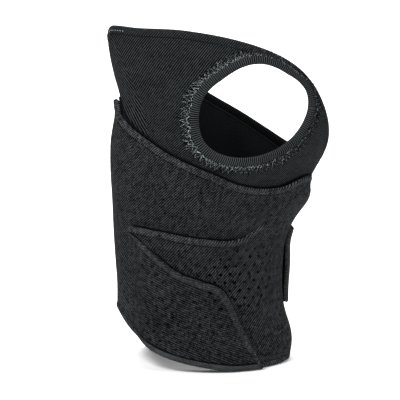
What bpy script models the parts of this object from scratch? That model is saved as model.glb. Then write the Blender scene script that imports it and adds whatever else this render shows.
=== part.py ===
"""Open elbow support: a neoprene sleeve with an elbow opening, and a wrap that closes over it.

The arm goes in at the hem and comes out of the slanted mouth at the top, and the point of the
elbow sits in the oval opening in front. Two wrap panels lie over the sleeve. The lower one closes
under a front flap, and a strap closes the two back edges over each other.

Every panel is a flat slab bent onto one form, the arm form. A place on it is an angle round the
form, a height and a distance out from the arm: 0 degrees is the right side, 90 the back, 180 the
left side and 270 the front. Lengths are in millimetres until a mesh is made.
"""

import math

import bmesh
import bpy
import numpy as np
from mathutils import Vector

MM = 0.001

# Driving dimensions
SLEEVE_THICKNESS = 2.6
WRAP_THICKNESS = 2.4
GAP = 0.35
BINDING_PROUD = 0.5
BINDING_WIDTH = 3.6
OPENING_BINDING_WIDTH = 4.4
FORM_SHIFT = (-9.05, 0.45)
OPENING_CENTRE = (31.5 + FORM_SHIFT[0], 168.0)
OPENING_REACH = (
    35.3, 35.6, 33.7, 31.3, 30.5, 30.2, 29.6, 28.8, 28.3, 28.8, 31.0, 33.6,
    35.0, 36.3, 37.0, 35.4, 32.8, 30.5, 29.1, 28.5, 28.9, 29.8, 31.4, 33.4,
)
STRAP_BOTTOM = 36.0
STRAP_TOP = 89.0
FLAP_HINGE_ANGLE = 212.6
STRAP_HINGE_ANGLE = 118.0
STRAP_END_ANGLE = -4.0
WRAP_BACK_LEFT = 107.0
WRAP_BACK_RIGHT = 430.0
FLAP_CLEAR = 0.8
SLEEVE_HEM_RISE = 0.8
STEEPEST = 1.3
STRAP_ROWS = 5
HINGE_ROOM = 1.2
BACK_TAPE_WIDTH = 4.6
SEAM_START = 296.0
SEAM_END = 301.0
THREAD_THICKNESS = 0.6
STITCH_COUNT = 48
CUTTER_STEPS = 48
CUTTER_REACH = (-6.0, 9.0)

# Distances out from the arm, from the inside layer to the outside one
SLEEVE_OUT = SLEEVE_THICKNESS
WRAP_IN = SLEEVE_OUT + BINDING_PROUD + GAP
WRAP_OUT = WRAP_IN + WRAP_THICKNESS
PATCH_IN = WRAP_OUT + 2 * GAP
LOOP_OUT = PATCH_IN + 0.7
HOOK_IN = LOOP_OUT + GAP
HOOK_OUT = HOOK_IN + 0.8
STRAP_IN = HOOK_OUT + GAP
STRAP_OUT = STRAP_IN + 1.9


def curve_through(*points):
    """A smooth function through points (x, y), level beyond the first and the last."""
    xs, ys = (np.array(column, float) for column in zip(*points))
    slopes = np.gradient(ys, xs)

    def value(x):
        x = min(max(x, xs[0]), xs[-1])
        i = min(int(np.searchsorted(xs, x, side="right")) - 1, len(xs) - 2)
        width = xs[i + 1] - xs[i]
        t = (x - xs[i]) / width
        start = (2 * t**3 - 3 * t**2 + 1) * ys[i] + (t**3 - 2 * t**2 + t) * width * slopes[i]
        end = (3 * t**2 - 2 * t**3) * ys[i + 1] + (t**3 - t**2) * width * slopes[i + 1]
        return float(start + end)

    return value


def ramp(x, low, high):
    """0 below low, 1 above high and smooth between."""
    t = min(max((x - low) / (high - low), 0.0), 1.0)
    return t * t * (3 - 2 * t)


# The arm form: its left and right side, its depth to the front and to the back, and how pinched
# its cross-section is (1 is an ellipse, 2 a lens), each by height
left_side = curve_through(
    (0, -48.5), (35, -48.5), (65, -49.5), (102, -51.8), (135, -52.5), (155, -51.8), (170, -51.5),
    (186, -55), (202, -58.5), (220, -59.5),
)
right_side = curve_through(
    (0, 48.5), (8, 49.5), (33, 45.6), (63, 46.4), (80, 48.4), (90, 52), (103, 59.5), (115, 63.5),
    (127, 70), (140, 76), (155, 79), (170, 80), (220, 80),
)
front_depth = curve_through((0, 35.5), (50, 34.5), (100, 36), (140, 39), (180, 36), (220, 26))
back_depth = curve_through((0, 35), (50, 33), (100, 34), (140, 32), (180, 22), (220, 10))
pinch = curve_through((0, 1.0), (90, 1.0), (130, 1.1), (170, 1.3), (220, 1.4))

# The edges of the pieces: height by angle round the form
front_rim = curve_through(
    (180, 209), (183.3, 212.4), (187, 216), (192.6, 218), (202, 218.8), (224, 219), (237.5, 219.8),
    (249, 219.7), (259.6, 218), (272, 215), (284.4, 210.4), (297.4, 204.3), (308, 197.9), (315.9, 191.6),
    (325.3, 181.8), (333.6, 171.3), (339.3, 164.1), (346.8, 154.4), (352.5, 146.1), (360, 132),
)
back_rim = curve_through(
    (0, 131), (30.6, 132.5), (49.4, 136.7), (66.3, 145.3), (81.8, 155.6), (99.6, 168), (120.2, 186.3),
    (138.1, 200.4), (163.3, 211.5), (180, 212),
)
wrap_top = curve_through(
    (100, 130), (120, 138), (150, 155), (172, 169), (184, 174), (192.6, 171), (200.6, 161.4), (215.1, 155.1),
    (227, 150.2), (237.3, 144.9), (252.6, 138.5), (267.3, 132.9), (282.7, 126.5), (296.9, 123.5),
    (305.7, 123), (316.6, 123.5), (323.5, 125.5), (332, 127), (345, 126), (360, 125), (400, 124), (440, 127),
)
hem_line = curve_through(
    (100, 0), (128, 0), (140, 7.5), (150, 15), (165, 26), (181, 33), (193.6, 31), (200, 28), (211.6, 21.8),
    (218.3, 18.7), (232.1, 12.2), (240.9, 9), (254.3, 5.7), (267, 3.2), (279.5, 1.2), (290, 0), (300, 0),
    (440, 0),
)
lower_panel_top = curve_through(
    (212, 92), (229.6, 91.3), (240.7, 90.3), (261.1, 87.6), (277.3, 85.9), (287.3, 85.3), (297.2, 87.2),
    (304.1, 91.7), (311.1, 97.3), (316.1, 103), (321.7, 108.5), (328, 114), (340, 117), (360, 113),
    (400, 104), (430, 98),
)
flap_edge = curve_through(
    (212.6, 88.5), (221.3, 85.4), (234.3, 76.4), (245.2, 69.3), (255.5, 63.8), (269, 59.5), (279.1, 56.1),
    (283.9, 54), (289.5, 47.1), (296.4, 33.2), (301.6, 19.2), (310.1, 3.6), (312, 1),
)


def hem(angle):
    """The wrap's lower edge, which never reaches below the plane the support stands on."""
    return max(hem_line(angle), 0.0)


def form_point(angle, height):
    """The place on the arm itself."""
    a = math.radians(angle)
    left, right = left_side(height), right_side(height)
    depth = front_depth(height) if math.sin(a) < 0 else back_depth(height)
    x = (left + right) / 2 + (right - left) / 2 * math.cos(a)
    y = depth * math.copysign(abs(math.sin(a)) ** pinch(height), math.sin(a))
    return np.array((x + FORM_SHIFT[0], y + FORM_SHIFT[1], height))


def place(angle, height, out):
    """The place at a level distance out from the arm, square to the form seen from above."""
    round_it = form_point(angle + 0.5, height) - form_point(angle - 0.5, height)
    up_it = form_point(angle, height + 0.5) - form_point(angle, height - 0.5)
    normal = np.cross(round_it, up_it)
    normal[2] = 0
    return form_point(angle, height) + normal / np.linalg.norm(normal) * out


def angle_at(x, height):
    """The angle on the front where the sleeve's outside passes over x."""
    low, high = 181.0, 359.9
    for _ in range(30):
        middle = (low + high) / 2
        if place(middle, height, SLEEVE_OUT)[0] < x:
            low = middle
        else:
            high = middle
    return (low + high) / 2


def opening_point(turn, wider=0.0):
    """The angle and height of a place on the elbow opening's rim, or that much outside it."""
    step = turn / (2 * math.pi) * len(OPENING_REACH)
    i = math.floor(step)
    t = step - i
    before, start, end, after = (OPENING_REACH[(i + k) % len(OPENING_REACH)] for k in (-1, 0, 1, 2))
    bend = 2 * before - 5 * start + 4 * end - after
    twist = 3 * (start - end) + after - before
    reach = start + t / 2 * (end - before + t * (bend + t * twist))
    reach += wider * (1 - 0.32 * math.exp(-(((math.degrees(turn) + 150) % 360 - 180) / 40) ** 2))
    x = OPENING_CENTRE[0] + reach * math.cos(turn)
    height = OPENING_CENTRE[1] + reach * math.sin(turn)
    return angle_at(x, height), height


def edge_shift(edge, angle, width):
    """How much lower than an edge a line runs that keeps about width away from it."""
    ahead, behind = form_point(angle + 1, edge(angle + 1)), form_point(angle - 1, edge(angle - 1))
    run = math.hypot(*(ahead - behind)[:2])
    slope = min(abs((ahead - behind)[2]) / max(run, 0.1), STEEPEST)
    return width * math.hypot(1, slope)


def shifted(edge, width):
    """The line that keeps width below an edge, or above it where width is negative."""
    return lambda angle: edge(angle) - edge_shift(edge, angle, width)


def flat(out):
    """A distance out that is the same all over a piece."""
    return lambda angle, height: out


def material(name, colour, roughness):
    """A plain dull material."""
    made = bpy.data.materials.new(name)
    made.use_nodes = True
    shader = made.node_tree.nodes["Principled BSDF"]
    shader.inputs["Base Color"].default_value = (*colour, 1)
    shader.inputs["Roughness"].default_value = roughness
    shader.inputs["Metallic"].default_value = 0
    made.diffuse_color = (*colour, 1)
    return made


def add_object(name, mesh, look):
    """Puts a mesh in the scene as a named piece."""
    made = bpy.data.objects.new(name, mesh)
    made.data.materials.append(look)
    bpy.data.collections["elbow_support"].objects.link(made)
    return made


def slab_mesh(name, across, up, bend, is_ring=False):
    """A slab of across by up cells, bent by bend(u, v, w) with u, v and w each from 0 to 1."""
    built = bmesh.new()
    bmesh.ops.create_grid(built, x_segments=across, y_segments=up, size=0.5)
    inner = list(built.verts)
    raised = bmesh.ops.extrude_face_region(built, geom=built.faces[:], use_keep_orig=True)
    outer = {v for v in raised["geom"] if isinstance(v, bmesh.types.BMVert)}
    if is_ring:
        at_end = [f for f in built.faces if all(abs(abs(v.co.x) - 0.5) < 1e-6 for v in f.verts)]
        bmesh.ops.delete(built, geom=at_end, context="FACES_ONLY")
    for vertex in inner + list(outer):
        u, v = vertex.co.x + 0.5, vertex.co.y + 0.5
        vertex.co = Vector(bend(u, v, 1.0 if vertex in outer else 0.0)) * MM
    if is_ring:
        bmesh.ops.remove_doubles(built, verts=built.verts[:], dist=0.01 * MM)
    bmesh.ops.recalc_face_normals(built, faces=built.faces[:])
    if built.calc_volume(signed=True) < 0:
        bmesh.ops.reverse_faces(built, faces=built.faces[:])
    mesh = bpy.data.meshes.new(name)
    built.to_mesh(mesh)
    built.free()
    return mesh


def smooth(obj):
    """Smooth shading with sharp edges where a panel turns over its border."""
    obj.data.shade_smooth()
    obj.data.set_sharp_from_angle(angle=math.radians(40))
    return obj


def stations(start, end, steps):
    """Evenly spaced angles from start to end."""
    return [start + (end - start) * i / steps for i in range(steps + 1)]


def even_rows(low, high, share):
    """The height of a row at a share of the way up."""
    return low + (high - low) * share


def panel(name, look, angles, bottom, top, inside, outside, rows, row_height=even_rows):
    """A sheet between two edges and between two distances out, with a column at each angle."""

    def bend(u, v, w):
        angle = angles[round(u * (len(angles) - 1))]
        height = row_height(bottom(angle), top(angle), v)
        out = (outside if w else inside)(angle, height)
        return place(angle, height, out)

    return smooth(add_object(name, slab_mesh(name, len(angles) - 1, rows, bend), look))


def level(height):
    """An edge that is level all the way round."""
    return lambda angle: height


def edge_tape(name, look, angles, edge, inside, outside, below=True, width=None):
    """A folded tape along the upper edge of a panel, or along its lower edge."""
    if width is None:
        width = level(BINDING_WIDTH)
    far = lambda angle: edge(angle) + (-1 if below else 1) * edge_shift(edge, angle, width(angle))
    low, high = (far, edge) if below else (edge, far)
    proud = lambda angle, height: outside(angle, height) + BINDING_PROUD
    return panel(name, look, angles, low, high, inside, proud, 1)


def last_angle(is_good, start, end):
    """The last angle from start to end where is_good still holds."""
    angle = start
    while angle + 0.1 <= end and is_good(angle + 0.1):
        angle += 0.1
    return angle


def set_origin(piece, where):
    """Moves a piece's origin to a place in millimetres and leaves its mesh where it is."""
    where = Vector(where) * MM
    for vertex in piece.data.vertices:
        vertex.co -= where
    piece.location = where


def opening_ring(name, look, inner_wider, outer_wider, inside, outside, steps):
    """A flat ring round the elbow opening."""

    def bend(u, v, w):
        angle, height = opening_point(2 * math.pi * u, inner_wider + (outer_wider - inner_wider) * v)
        return place(angle, height, outside if w else inside)

    return smooth(add_object(name, slab_mesh(name, steps, 1, bend, is_ring=True), look))


def thread(name, look, places, thickness, is_loop=False):
    """A sewing thread through places in millimetres."""
    curve = bpy.data.curves.new(name, "CURVE")
    curve.dimensions = "3D"
    curve.bevel_depth = thickness / 2 * MM
    curve.bevel_resolution = 0
    curve.use_fill_caps = True
    line = curve.splines.new("POLY")
    line.points.add(len(places) - 1)
    for point, where in zip(line.points, places):
        point.co = (*(Vector(where) * MM), 1)
    line.use_cyclic_u = is_loop
    return add_object(name, curve, look)


def cut_opening(piece, wider):
    """Cuts the elbow opening through a panel, square to the form all round."""
    built = bmesh.new()
    rings = []
    for out in CUTTER_REACH:
        ring = []
        for i in range(CUTTER_STEPS):
            angle, height = opening_point(2 * math.pi * i / CUTTER_STEPS, wider)
            ring.append(built.verts.new(Vector(place(angle, height, out)) * MM))
        rings.append(ring)
        middle_angle = angle_at(OPENING_CENTRE[0], OPENING_CENTRE[1])
        middle = built.verts.new(Vector(place(middle_angle, OPENING_CENTRE[1], out)) * MM)
        for i in range(CUTTER_STEPS):
            built.faces.new((middle, ring[i], ring[(i + 1) % CUTTER_STEPS]))
    for i in range(CUTTER_STEPS):
        k = (i + 1) % CUTTER_STEPS
        built.faces.new((rings[0][i], rings[0][k], rings[1][k], rings[1][i]))
    bmesh.ops.recalc_face_normals(built, faces=built.faces[:])
    mesh = bpy.data.meshes.new("opening_cutter")
    built.to_mesh(mesh)
    built.free()
    cutter = bpy.data.objects.new("opening_cutter", mesh)
    bpy.data.collections["cutters"].objects.link(cutter)
    cutter.hide_render = True
    cutter.display_type = "WIRE"
    cut = piece.modifiers.new("elbow_opening", "BOOLEAN")
    cut.operation = "DIFFERENCE"
    cut.object = cutter


def build_sleeve(looks):
    """The sleeve: two panels, the tapes over their edges and seams, and the stitching."""
    knit, tape, yarn = looks["sleeve_knit"], looks["edge_tape"], looks["stitching"]
    inside, outside = flat(0.0), flat(SLEEVE_OUT)
    tuck = BINDING_WIDTH + GAP

    def sleeve_hem(angle):
        return hem(angle + 360 if angle < 100 else angle) + SLEEVE_HEM_RISE

    panel_hem = shifted(sleeve_hem, -tuck)
    front_span, back_span = stations(183.4, 356.6, 32), stations(3.4, 176.6, 18)

    def rim_tape_width(angle):
        """The front rim's tape is narrower where the elbow opening comes close to it."""
        return BINDING_WIDTH * (1 - 0.42 * ramp(angle, 285, 305) * (1 - ramp(angle, 332, 348)))

    def front_top(angle):
        return front_rim(angle) - edge_shift(front_rim, angle, rim_tape_width(angle) + 2 * GAP)

    front = panel("sleeve_front_panel", knit, front_span, panel_hem, front_top, inside, outside, 18)
    cut_opening(front, OPENING_BINDING_WIDTH + GAP)
    panel("sleeve_back_panel", knit, back_span, panel_hem, shifted(back_rim, tuck), inside, outside, 14)
    edge_tape("front_rim_tape", tape, front_span, front_rim, inside, outside, width=rim_tape_width)
    edge_tape("back_rim_tape", tape, back_span, back_rim, inside, outside)
    opening_ring(
        "elbow_opening_binding", looks["rib_tape"], 0.0, OPENING_BINDING_WIDTH, 0.0,
        SLEEVE_OUT + BINDING_PROUD, 40,
    )

    zigzag = []
    for i in range(2 * STITCH_COUNT):
        away = 0.8 if i % 2 else 3.6
        angle, height = opening_point(math.pi * i / STITCH_COUNT, OPENING_BINDING_WIDTH + away)
        zigzag.append(place(angle, height, SLEEVE_OUT + BINDING_PROUD + GAP + THREAD_THICKNESS / 2))
    thread("elbow_opening_stitching", yarn, zigzag, THREAD_THICKNESS, is_loop=True)

    seam_in, seam_out = flat(0.2), flat(SLEEVE_OUT + 0.2)
    for name, middle, top in (("left_side_seam", 180.0, 215.0), ("right_side_seam", 360.0, 127.0)):
        low = sleeve_hem(middle)
        panel(
            name, tape, stations(middle - 2.4, middle + 2.4, 4), level(low), level(top), seam_in, seam_out, 18
        )

    hem_top = shifted(sleeve_hem, -BINDING_WIDTH)
    panel("sleeve_front_hem_tape", tape, front_span, sleeve_hem, hem_top, inside, outside, 1)
    panel("sleeve_back_hem_tape", tape, back_span, sleeve_hem, hem_top, inside, outside, 1)


def lower_panel_bottom(angle):
    """The lower panel's lower side: a line under the front flap, then the hem."""
    under_flap = 10 * ramp(angle, 226, 250) + 50 * ramp(angle, 268, 286)
    return max(hem(angle), flap_edge(angle) + GAP - under_flap) if angle < 312 else hem(angle)


def build_wrap(looks):
    """The two wrap panels that stay on the sleeve, with the tapes over their edges."""
    knit, tape = looks["wrap_knit"], looks["edge_tape"]
    inside, outside = flat(WRAP_IN), flat(WRAP_OUT)
    tuck = BINDING_WIDTH + GAP
    left_end = FLAP_HINGE_ANGLE - 0.8

    def upper_bottom(angle):
        """The hem on the left, then a line under the lower panel, then the seam between the two."""
        if angle <= left_end:
            return hem(angle) + edge_shift(hem, angle, tuck)
        over_flap = flap_edge(angle) + GAP + HINGE_ROOM * (1 - ramp(angle, 216, 228))
        under = max(lower_panel_top(angle) - 5.5, over_flap)
        return under + (lower_panel_top(angle) + 1.5 - under) * ramp(angle, SEAM_START - 15, SEAM_START - 10)

    left_columns = stations(WRAP_BACK_LEFT + BACK_TAPE_WIDTH, left_end, 14)
    columns = left_columns + stations(FLAP_HINGE_ANGLE - 0.2, WRAP_BACK_RIGHT - BACK_TAPE_WIDTH, 30)
    panel("wrap_upper_panel", knit, columns, upper_bottom, shifted(wrap_top, tuck + 0.5), inside, outside, 8)
    edge_tape("wrap_top_tape", tape, columns, wrap_top, inside, outside)
    edge_tape("wrap_left_hem_tape", tape, left_columns, hem, inside, outside, below=False)

    def lift(angle, height):
        """How far the lower panel is raised where it passes over the upper one."""
        clear = ramp(lower_panel_top(angle) - height, 6.5, 10.5)
        return (WRAP_THICKNESS + GAP) * (1 - ramp(angle, SEAM_START - 8, SEAM_START)) * (1 - clear)

    def lower_in(angle, height):
        return WRAP_IN + lift(angle, height)

    def lower_out(angle, height):
        return WRAP_OUT + lift(angle, height)

    def lower_top(angle):
        taped = 1 - ramp(angle, SEAM_START, SEAM_END)
        return lower_panel_top(angle) - (edge_shift(lower_panel_top, angle, tuck)) * taped

    def lower_low(angle):
        return lower_panel_bottom(angle) + tuck * ramp(angle, 284, 286)

    left_columns = stations(217.5, 284, 18)
    hem_columns = stations(286, WRAP_BACK_RIGHT - BACK_TAPE_WIDTH, 28)
    columns = left_columns + hem_columns

    def lower_rows(low, high, share):
        """Three close rows at the top, where the lift ends, and even rows below them."""
        down = min(7.5, (high - low) * 0.6)
        if share > 0.78:
            return high - down * (1 - share) / 0.2143
        return low + (high - down - low) * share / 0.7857

    panel(
        "wrap_lower_panel", knit, columns, lower_low, lower_top, lower_in, lower_out, 14, lower_rows
    )
    taped = [angle for angle in columns if angle <= SEAM_START]
    edge_tape("lower_panel_tape", tape, taped, lower_panel_top, lower_in, lower_out)
    edge_tape("wrap_right_hem_tape", tape, hem_columns, hem, inside, outside, below=False)

    proud = flat(WRAP_OUT + BINDING_PROUD)
    for name, start in (
        ("back_left_edge_tape", WRAP_BACK_LEFT), ("back_right_edge_tape", WRAP_BACK_RIGHT - BACK_TAPE_WIDTH + 1.0),
    ):
        panel(name, tape, stations(start, start + BACK_TAPE_WIDTH - 1.0, 1), hem, wrap_top, inside, proud, 12)
    panel(
        "loop_patch", looks["loop_tape"], stations(357.0, 421.0, 16), level(STRAP_BOTTOM), level(STRAP_TOP),
        flat(PATCH_IN), flat(LOOP_OUT), STRAP_ROWS,
    )


def build_front_flap(looks):
    """The flap that opens to the left: its panel, its two tapes and the hook patch under it."""
    tuck = BINDING_WIDTH + GAP
    start = FLAP_HINGE_ANGLE + 0.5
    extra = WRAP_THICKNESS + GAP + 1.0

    def lift(angle, height):
        """How far the flap is raised to pass over the lower panel and the hook patch."""
        return extra * ramp(angle, start + 1, start + 19)

    def flap_in(angle, height):
        return WRAP_IN + lift(angle, height)

    def flap_out(angle, height):
        return WRAP_OUT + lift(angle, height)

    def flap_hem(angle):
        return hem(angle) + FLAP_CLEAR

    edge_low = shifted(flap_edge, BINDING_WIDTH)
    body_top = shifted(flap_edge, tuck)

    def hem_tape_top(angle):
        return min(flap_hem(angle) + BINDING_WIDTH, body_top(angle))

    def body_bottom(angle):
        return flap_hem(angle) + tuck

    end = last_angle(lambda a: body_top(a) > body_bottom(a) + 0.6, start, 312)
    columns = stations(start, end, 24)
    pieces = [
        panel("front_flap", looks["wrap_knit"], columns, body_bottom, body_top, flap_in, flap_out, 7)
    ]
    proud = lambda angle, height: flap_out(angle, height) + BINDING_PROUD
    hem_end = last_angle(lambda a: hem_tape_top(a) > flap_hem(a) + 0.4, start, 312)
    hem_columns = columns + stations(end, hem_end, 3)[1:]
    edge_end = last_angle(lambda a: flap_edge(a) > flap_hem(a) + 0.5, start, 312)
    edge_columns = hem_columns + stations(hem_end, edge_end, 4)[1:]
    pieces.append(
        panel(
            "flap_edge_tape", looks["edge_tape"], edge_columns, lambda a: max(edge_low(a), flap_hem(a)),
            flap_edge, flap_in, proud, 1,
        )
    )
    pieces.append(
        panel(
            "flap_hem_tape", looks["edge_tape"], hem_columns, flap_hem, hem_tape_top, flap_in, proud, 1
        )
    )
    pieces.append(
        panel(
            "flap_hook_patch", looks["hook_tape"], stations(258.0, 278.0, 5),
            lambda a: flap_edge(a) - 8.5, lambda a: flap_edge(a) - 2.5, flat(WRAP_OUT + GAP),
            flat(WRAP_OUT + GAP + 0.65), 1,
        )
    )
    hinge = place(FLAP_HINGE_ANGLE + 0.2, 54.0, WRAP_OUT + BINDING_PROUD)
    for piece in pieces:
        set_origin(piece, hinge)


def build_closing_strap(looks):
    """The strap across the back: its sewn-down base, the strap, its end and the hook patch under it."""
    low, high = level(STRAP_BOTTOM), level(STRAP_TOP)
    inside, outside = flat(STRAP_IN), flat(STRAP_OUT)
    panel(
        "closing_strap_base", looks["wrap_knit"], stations(STRAP_HINGE_ANGLE + 0.4, 146.0, 6), low, high,
        flat(PATCH_IN), outside, STRAP_ROWS,
    )
    strap_end = STRAP_END_ANGLE + 5.0
    pieces = [
        panel(
            "closing_strap", looks["wrap_knit"], stations(strap_end, STRAP_HINGE_ANGLE - 0.4, 28), low, high,
            inside, outside, STRAP_ROWS,
        ),
        panel(
            "strap_end_tape", looks["hook_tape"], stations(STRAP_END_ANGLE, strap_end - 0.4, 2), low, high,
            flat(HOOK_IN), flat(STRAP_OUT + BINDING_PROUD), STRAP_ROWS,
        ),
        panel(
            "strap_hook_patch", looks["hook_tape"], stations(strap_end, 52.0, 14), low, high, flat(HOOK_IN),
            flat(HOOK_OUT), STRAP_ROWS,
        ),
    ]
    hinge = place(STRAP_HINGE_ANGLE, (STRAP_BOTTOM + STRAP_TOP) / 2, STRAP_OUT + GAP)
    for piece in pieces:
        set_origin(piece, hinge)


def main():
    for old in list(bpy.data.objects):
        bpy.data.objects.remove(old)
    for name in ("elbow_support", "cutters"):
        collection = bpy.data.collections.new(name)
        bpy.context.scene.collection.children.link(collection)
    looks = {
        "sleeve_knit": material("sleeve_knit", (0.030, 0.034, 0.036), 0.85),
        "wrap_knit": material("wrap_knit", (0.028, 0.031, 0.033), 0.85),
        "edge_tape": material("edge_tape", (0.035, 0.038, 0.040), 0.8),
        "rib_tape": material("rib_tape", (0.035, 0.037, 0.039), 0.8),
        "stitching": material("stitching", (0.11, 0.115, 0.12), 0.6),
        "hook_tape": material("hook_tape", (0.008, 0.008, 0.009), 0.9),
        "loop_tape": material("loop_tape", (0.015, 0.016, 0.017), 0.95),
    }
    build_sleeve(looks)
    build_wrap(looks)
    build_front_flap(looks)
    build_closing_strap(looks)


main()
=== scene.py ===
"""Looks of an open elbow support: a knit sleeve with an elbow opening, inside a perforated wrap.

Every cloth piece is a sheet bent onto one form, the arm form, at its own distance out from the arm.
A place on the form is an angle round it and a height: 0 degrees is the right side, 90 the back,
180 the left side and 270 the front. Lengths are in millimetres until a mesh is made.
"""

import logging
import math
from dataclasses import dataclass
from enum import Enum
from typing import Callable

import bmesh
import bpy
import numpy as np
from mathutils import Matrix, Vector


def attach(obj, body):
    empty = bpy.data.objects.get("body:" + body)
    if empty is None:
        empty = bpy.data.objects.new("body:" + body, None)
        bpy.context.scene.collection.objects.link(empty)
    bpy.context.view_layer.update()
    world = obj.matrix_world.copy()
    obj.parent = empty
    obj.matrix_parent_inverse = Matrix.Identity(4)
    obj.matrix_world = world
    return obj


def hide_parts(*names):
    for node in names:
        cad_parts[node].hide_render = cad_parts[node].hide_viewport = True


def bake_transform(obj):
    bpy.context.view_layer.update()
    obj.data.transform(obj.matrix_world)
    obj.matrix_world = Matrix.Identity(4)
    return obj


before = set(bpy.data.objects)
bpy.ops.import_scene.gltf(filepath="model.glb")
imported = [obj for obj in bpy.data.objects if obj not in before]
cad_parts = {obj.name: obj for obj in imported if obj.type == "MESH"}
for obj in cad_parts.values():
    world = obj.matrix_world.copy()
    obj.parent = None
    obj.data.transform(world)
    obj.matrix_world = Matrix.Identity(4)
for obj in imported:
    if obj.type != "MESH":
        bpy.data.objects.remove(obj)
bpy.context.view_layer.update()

MM = 0.001
CLOTH = "cloth"
BORDER = "border"
CREASE = "crease_edge"
NUDGE = 0.01
FRONT = 270.0
LEFT, RIGHT = 180.0, 360.0
Edge = Callable[[np.ndarray], np.ndarray]
Field = Callable[[np.ndarray, np.ndarray], np.ndarray]
Face = tuple[int, ...]
Triple = tuple[float, float, float]
Socket = bpy.types.NodeSocket
Value = Socket | float | Triple
log = logging.getLogger("elbow_support")


class Body(Enum):
    """The rigid bodies that the pieces ride on."""

    SLEEVE = "sleeve"
    FLAP = "front_flap"
    STRAP = "closing_strap"


class Side(Enum):
    """The side of an edge that the cloth lies on, seen with the edge running to larger angles."""

    BELOW = -1
    ABOVE = 1


@dataclass(frozen=True)
class Layers:
    """How thick each layer is and where it lies, as distances out from the arm.

    Attributes:
        sleeve: The sleeve's thickness.
        wrap: The wrap's thickness.
        gap: The air between two layers.
        proud: How far a sewn edge stands out of its cloth.
    """

    sleeve: float = 2.6
    wrap: float = 2.4
    gap: float = 0.35
    proud: float = 0.5

    @property
    def wrap_in(self) -> float:
        """The inside of the wrap."""
        return self.sleeve + self.proud + self.gap

    @property
    def wrap_out(self) -> float:
        """The outside of the wrap where nothing lifts it."""
        return self.wrap_in + self.wrap

    @property
    def over(self) -> float:
        """How far a wrap layer is raised to pass over another."""
        return self.wrap + self.gap


LAYERS = Layers()


def ramp(x: np.ndarray | float, low: float, high: float) -> np.ndarray:
    """0 below low, 1 above high and smooth between.

    Args:
        x: The value or values.
        low: Where the rise starts.
        high: Where it ends.

    Returns:
        The ramp's value at each x.
    """
    t = np.clip((np.asarray(x, float) - low) / (high - low), 0.0, 1.0)
    return t * t * (3 - 2 * t)


def bump(x: np.ndarray | float, middle: float, reach: float) -> np.ndarray:
    """A smooth hump of height 1 at middle that has faded at about twice its reach."""
    return np.exp(-(((np.asarray(x, float) - middle) / reach) ** 2))


class SmoothCurve:
    """A smooth line through a few points, level beyond the first and the last."""

    def __init__(self, *points: tuple[float, float]) -> None:
        """Stores the points and the slope at each.

        Args:
            points: Places (x, y) in order of x.
        """
        self.xs, self.ys = (np.array(column, float) for column in zip(*points))
        self.slopes = np.gradient(self.ys, self.xs)

    def __call__(self, x: np.ndarray | float) -> np.ndarray:
        """Reads the curve.

        Args:
            x: The value or values.

        Returns:
            The curve's value at each x.
        """
        x = np.clip(np.asarray(x, float), self.xs[0], self.xs[-1])
        i = np.clip(np.searchsorted(self.xs, x, side="right") - 1, 0, len(self.xs) - 2)
        width = self.xs[i + 1] - self.xs[i]
        t = (x - self.xs[i]) / width
        start = (2 * t**3 - 3 * t**2 + 1) * self.ys[i] + (t**3 - 2 * t**2 + t) * width * self.slopes[i]
        end = (3 * t**2 - 2 * t**3) * self.ys[i + 1] + (t**3 - t**2) * width * self.slopes[i + 1]
        return start + end


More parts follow.
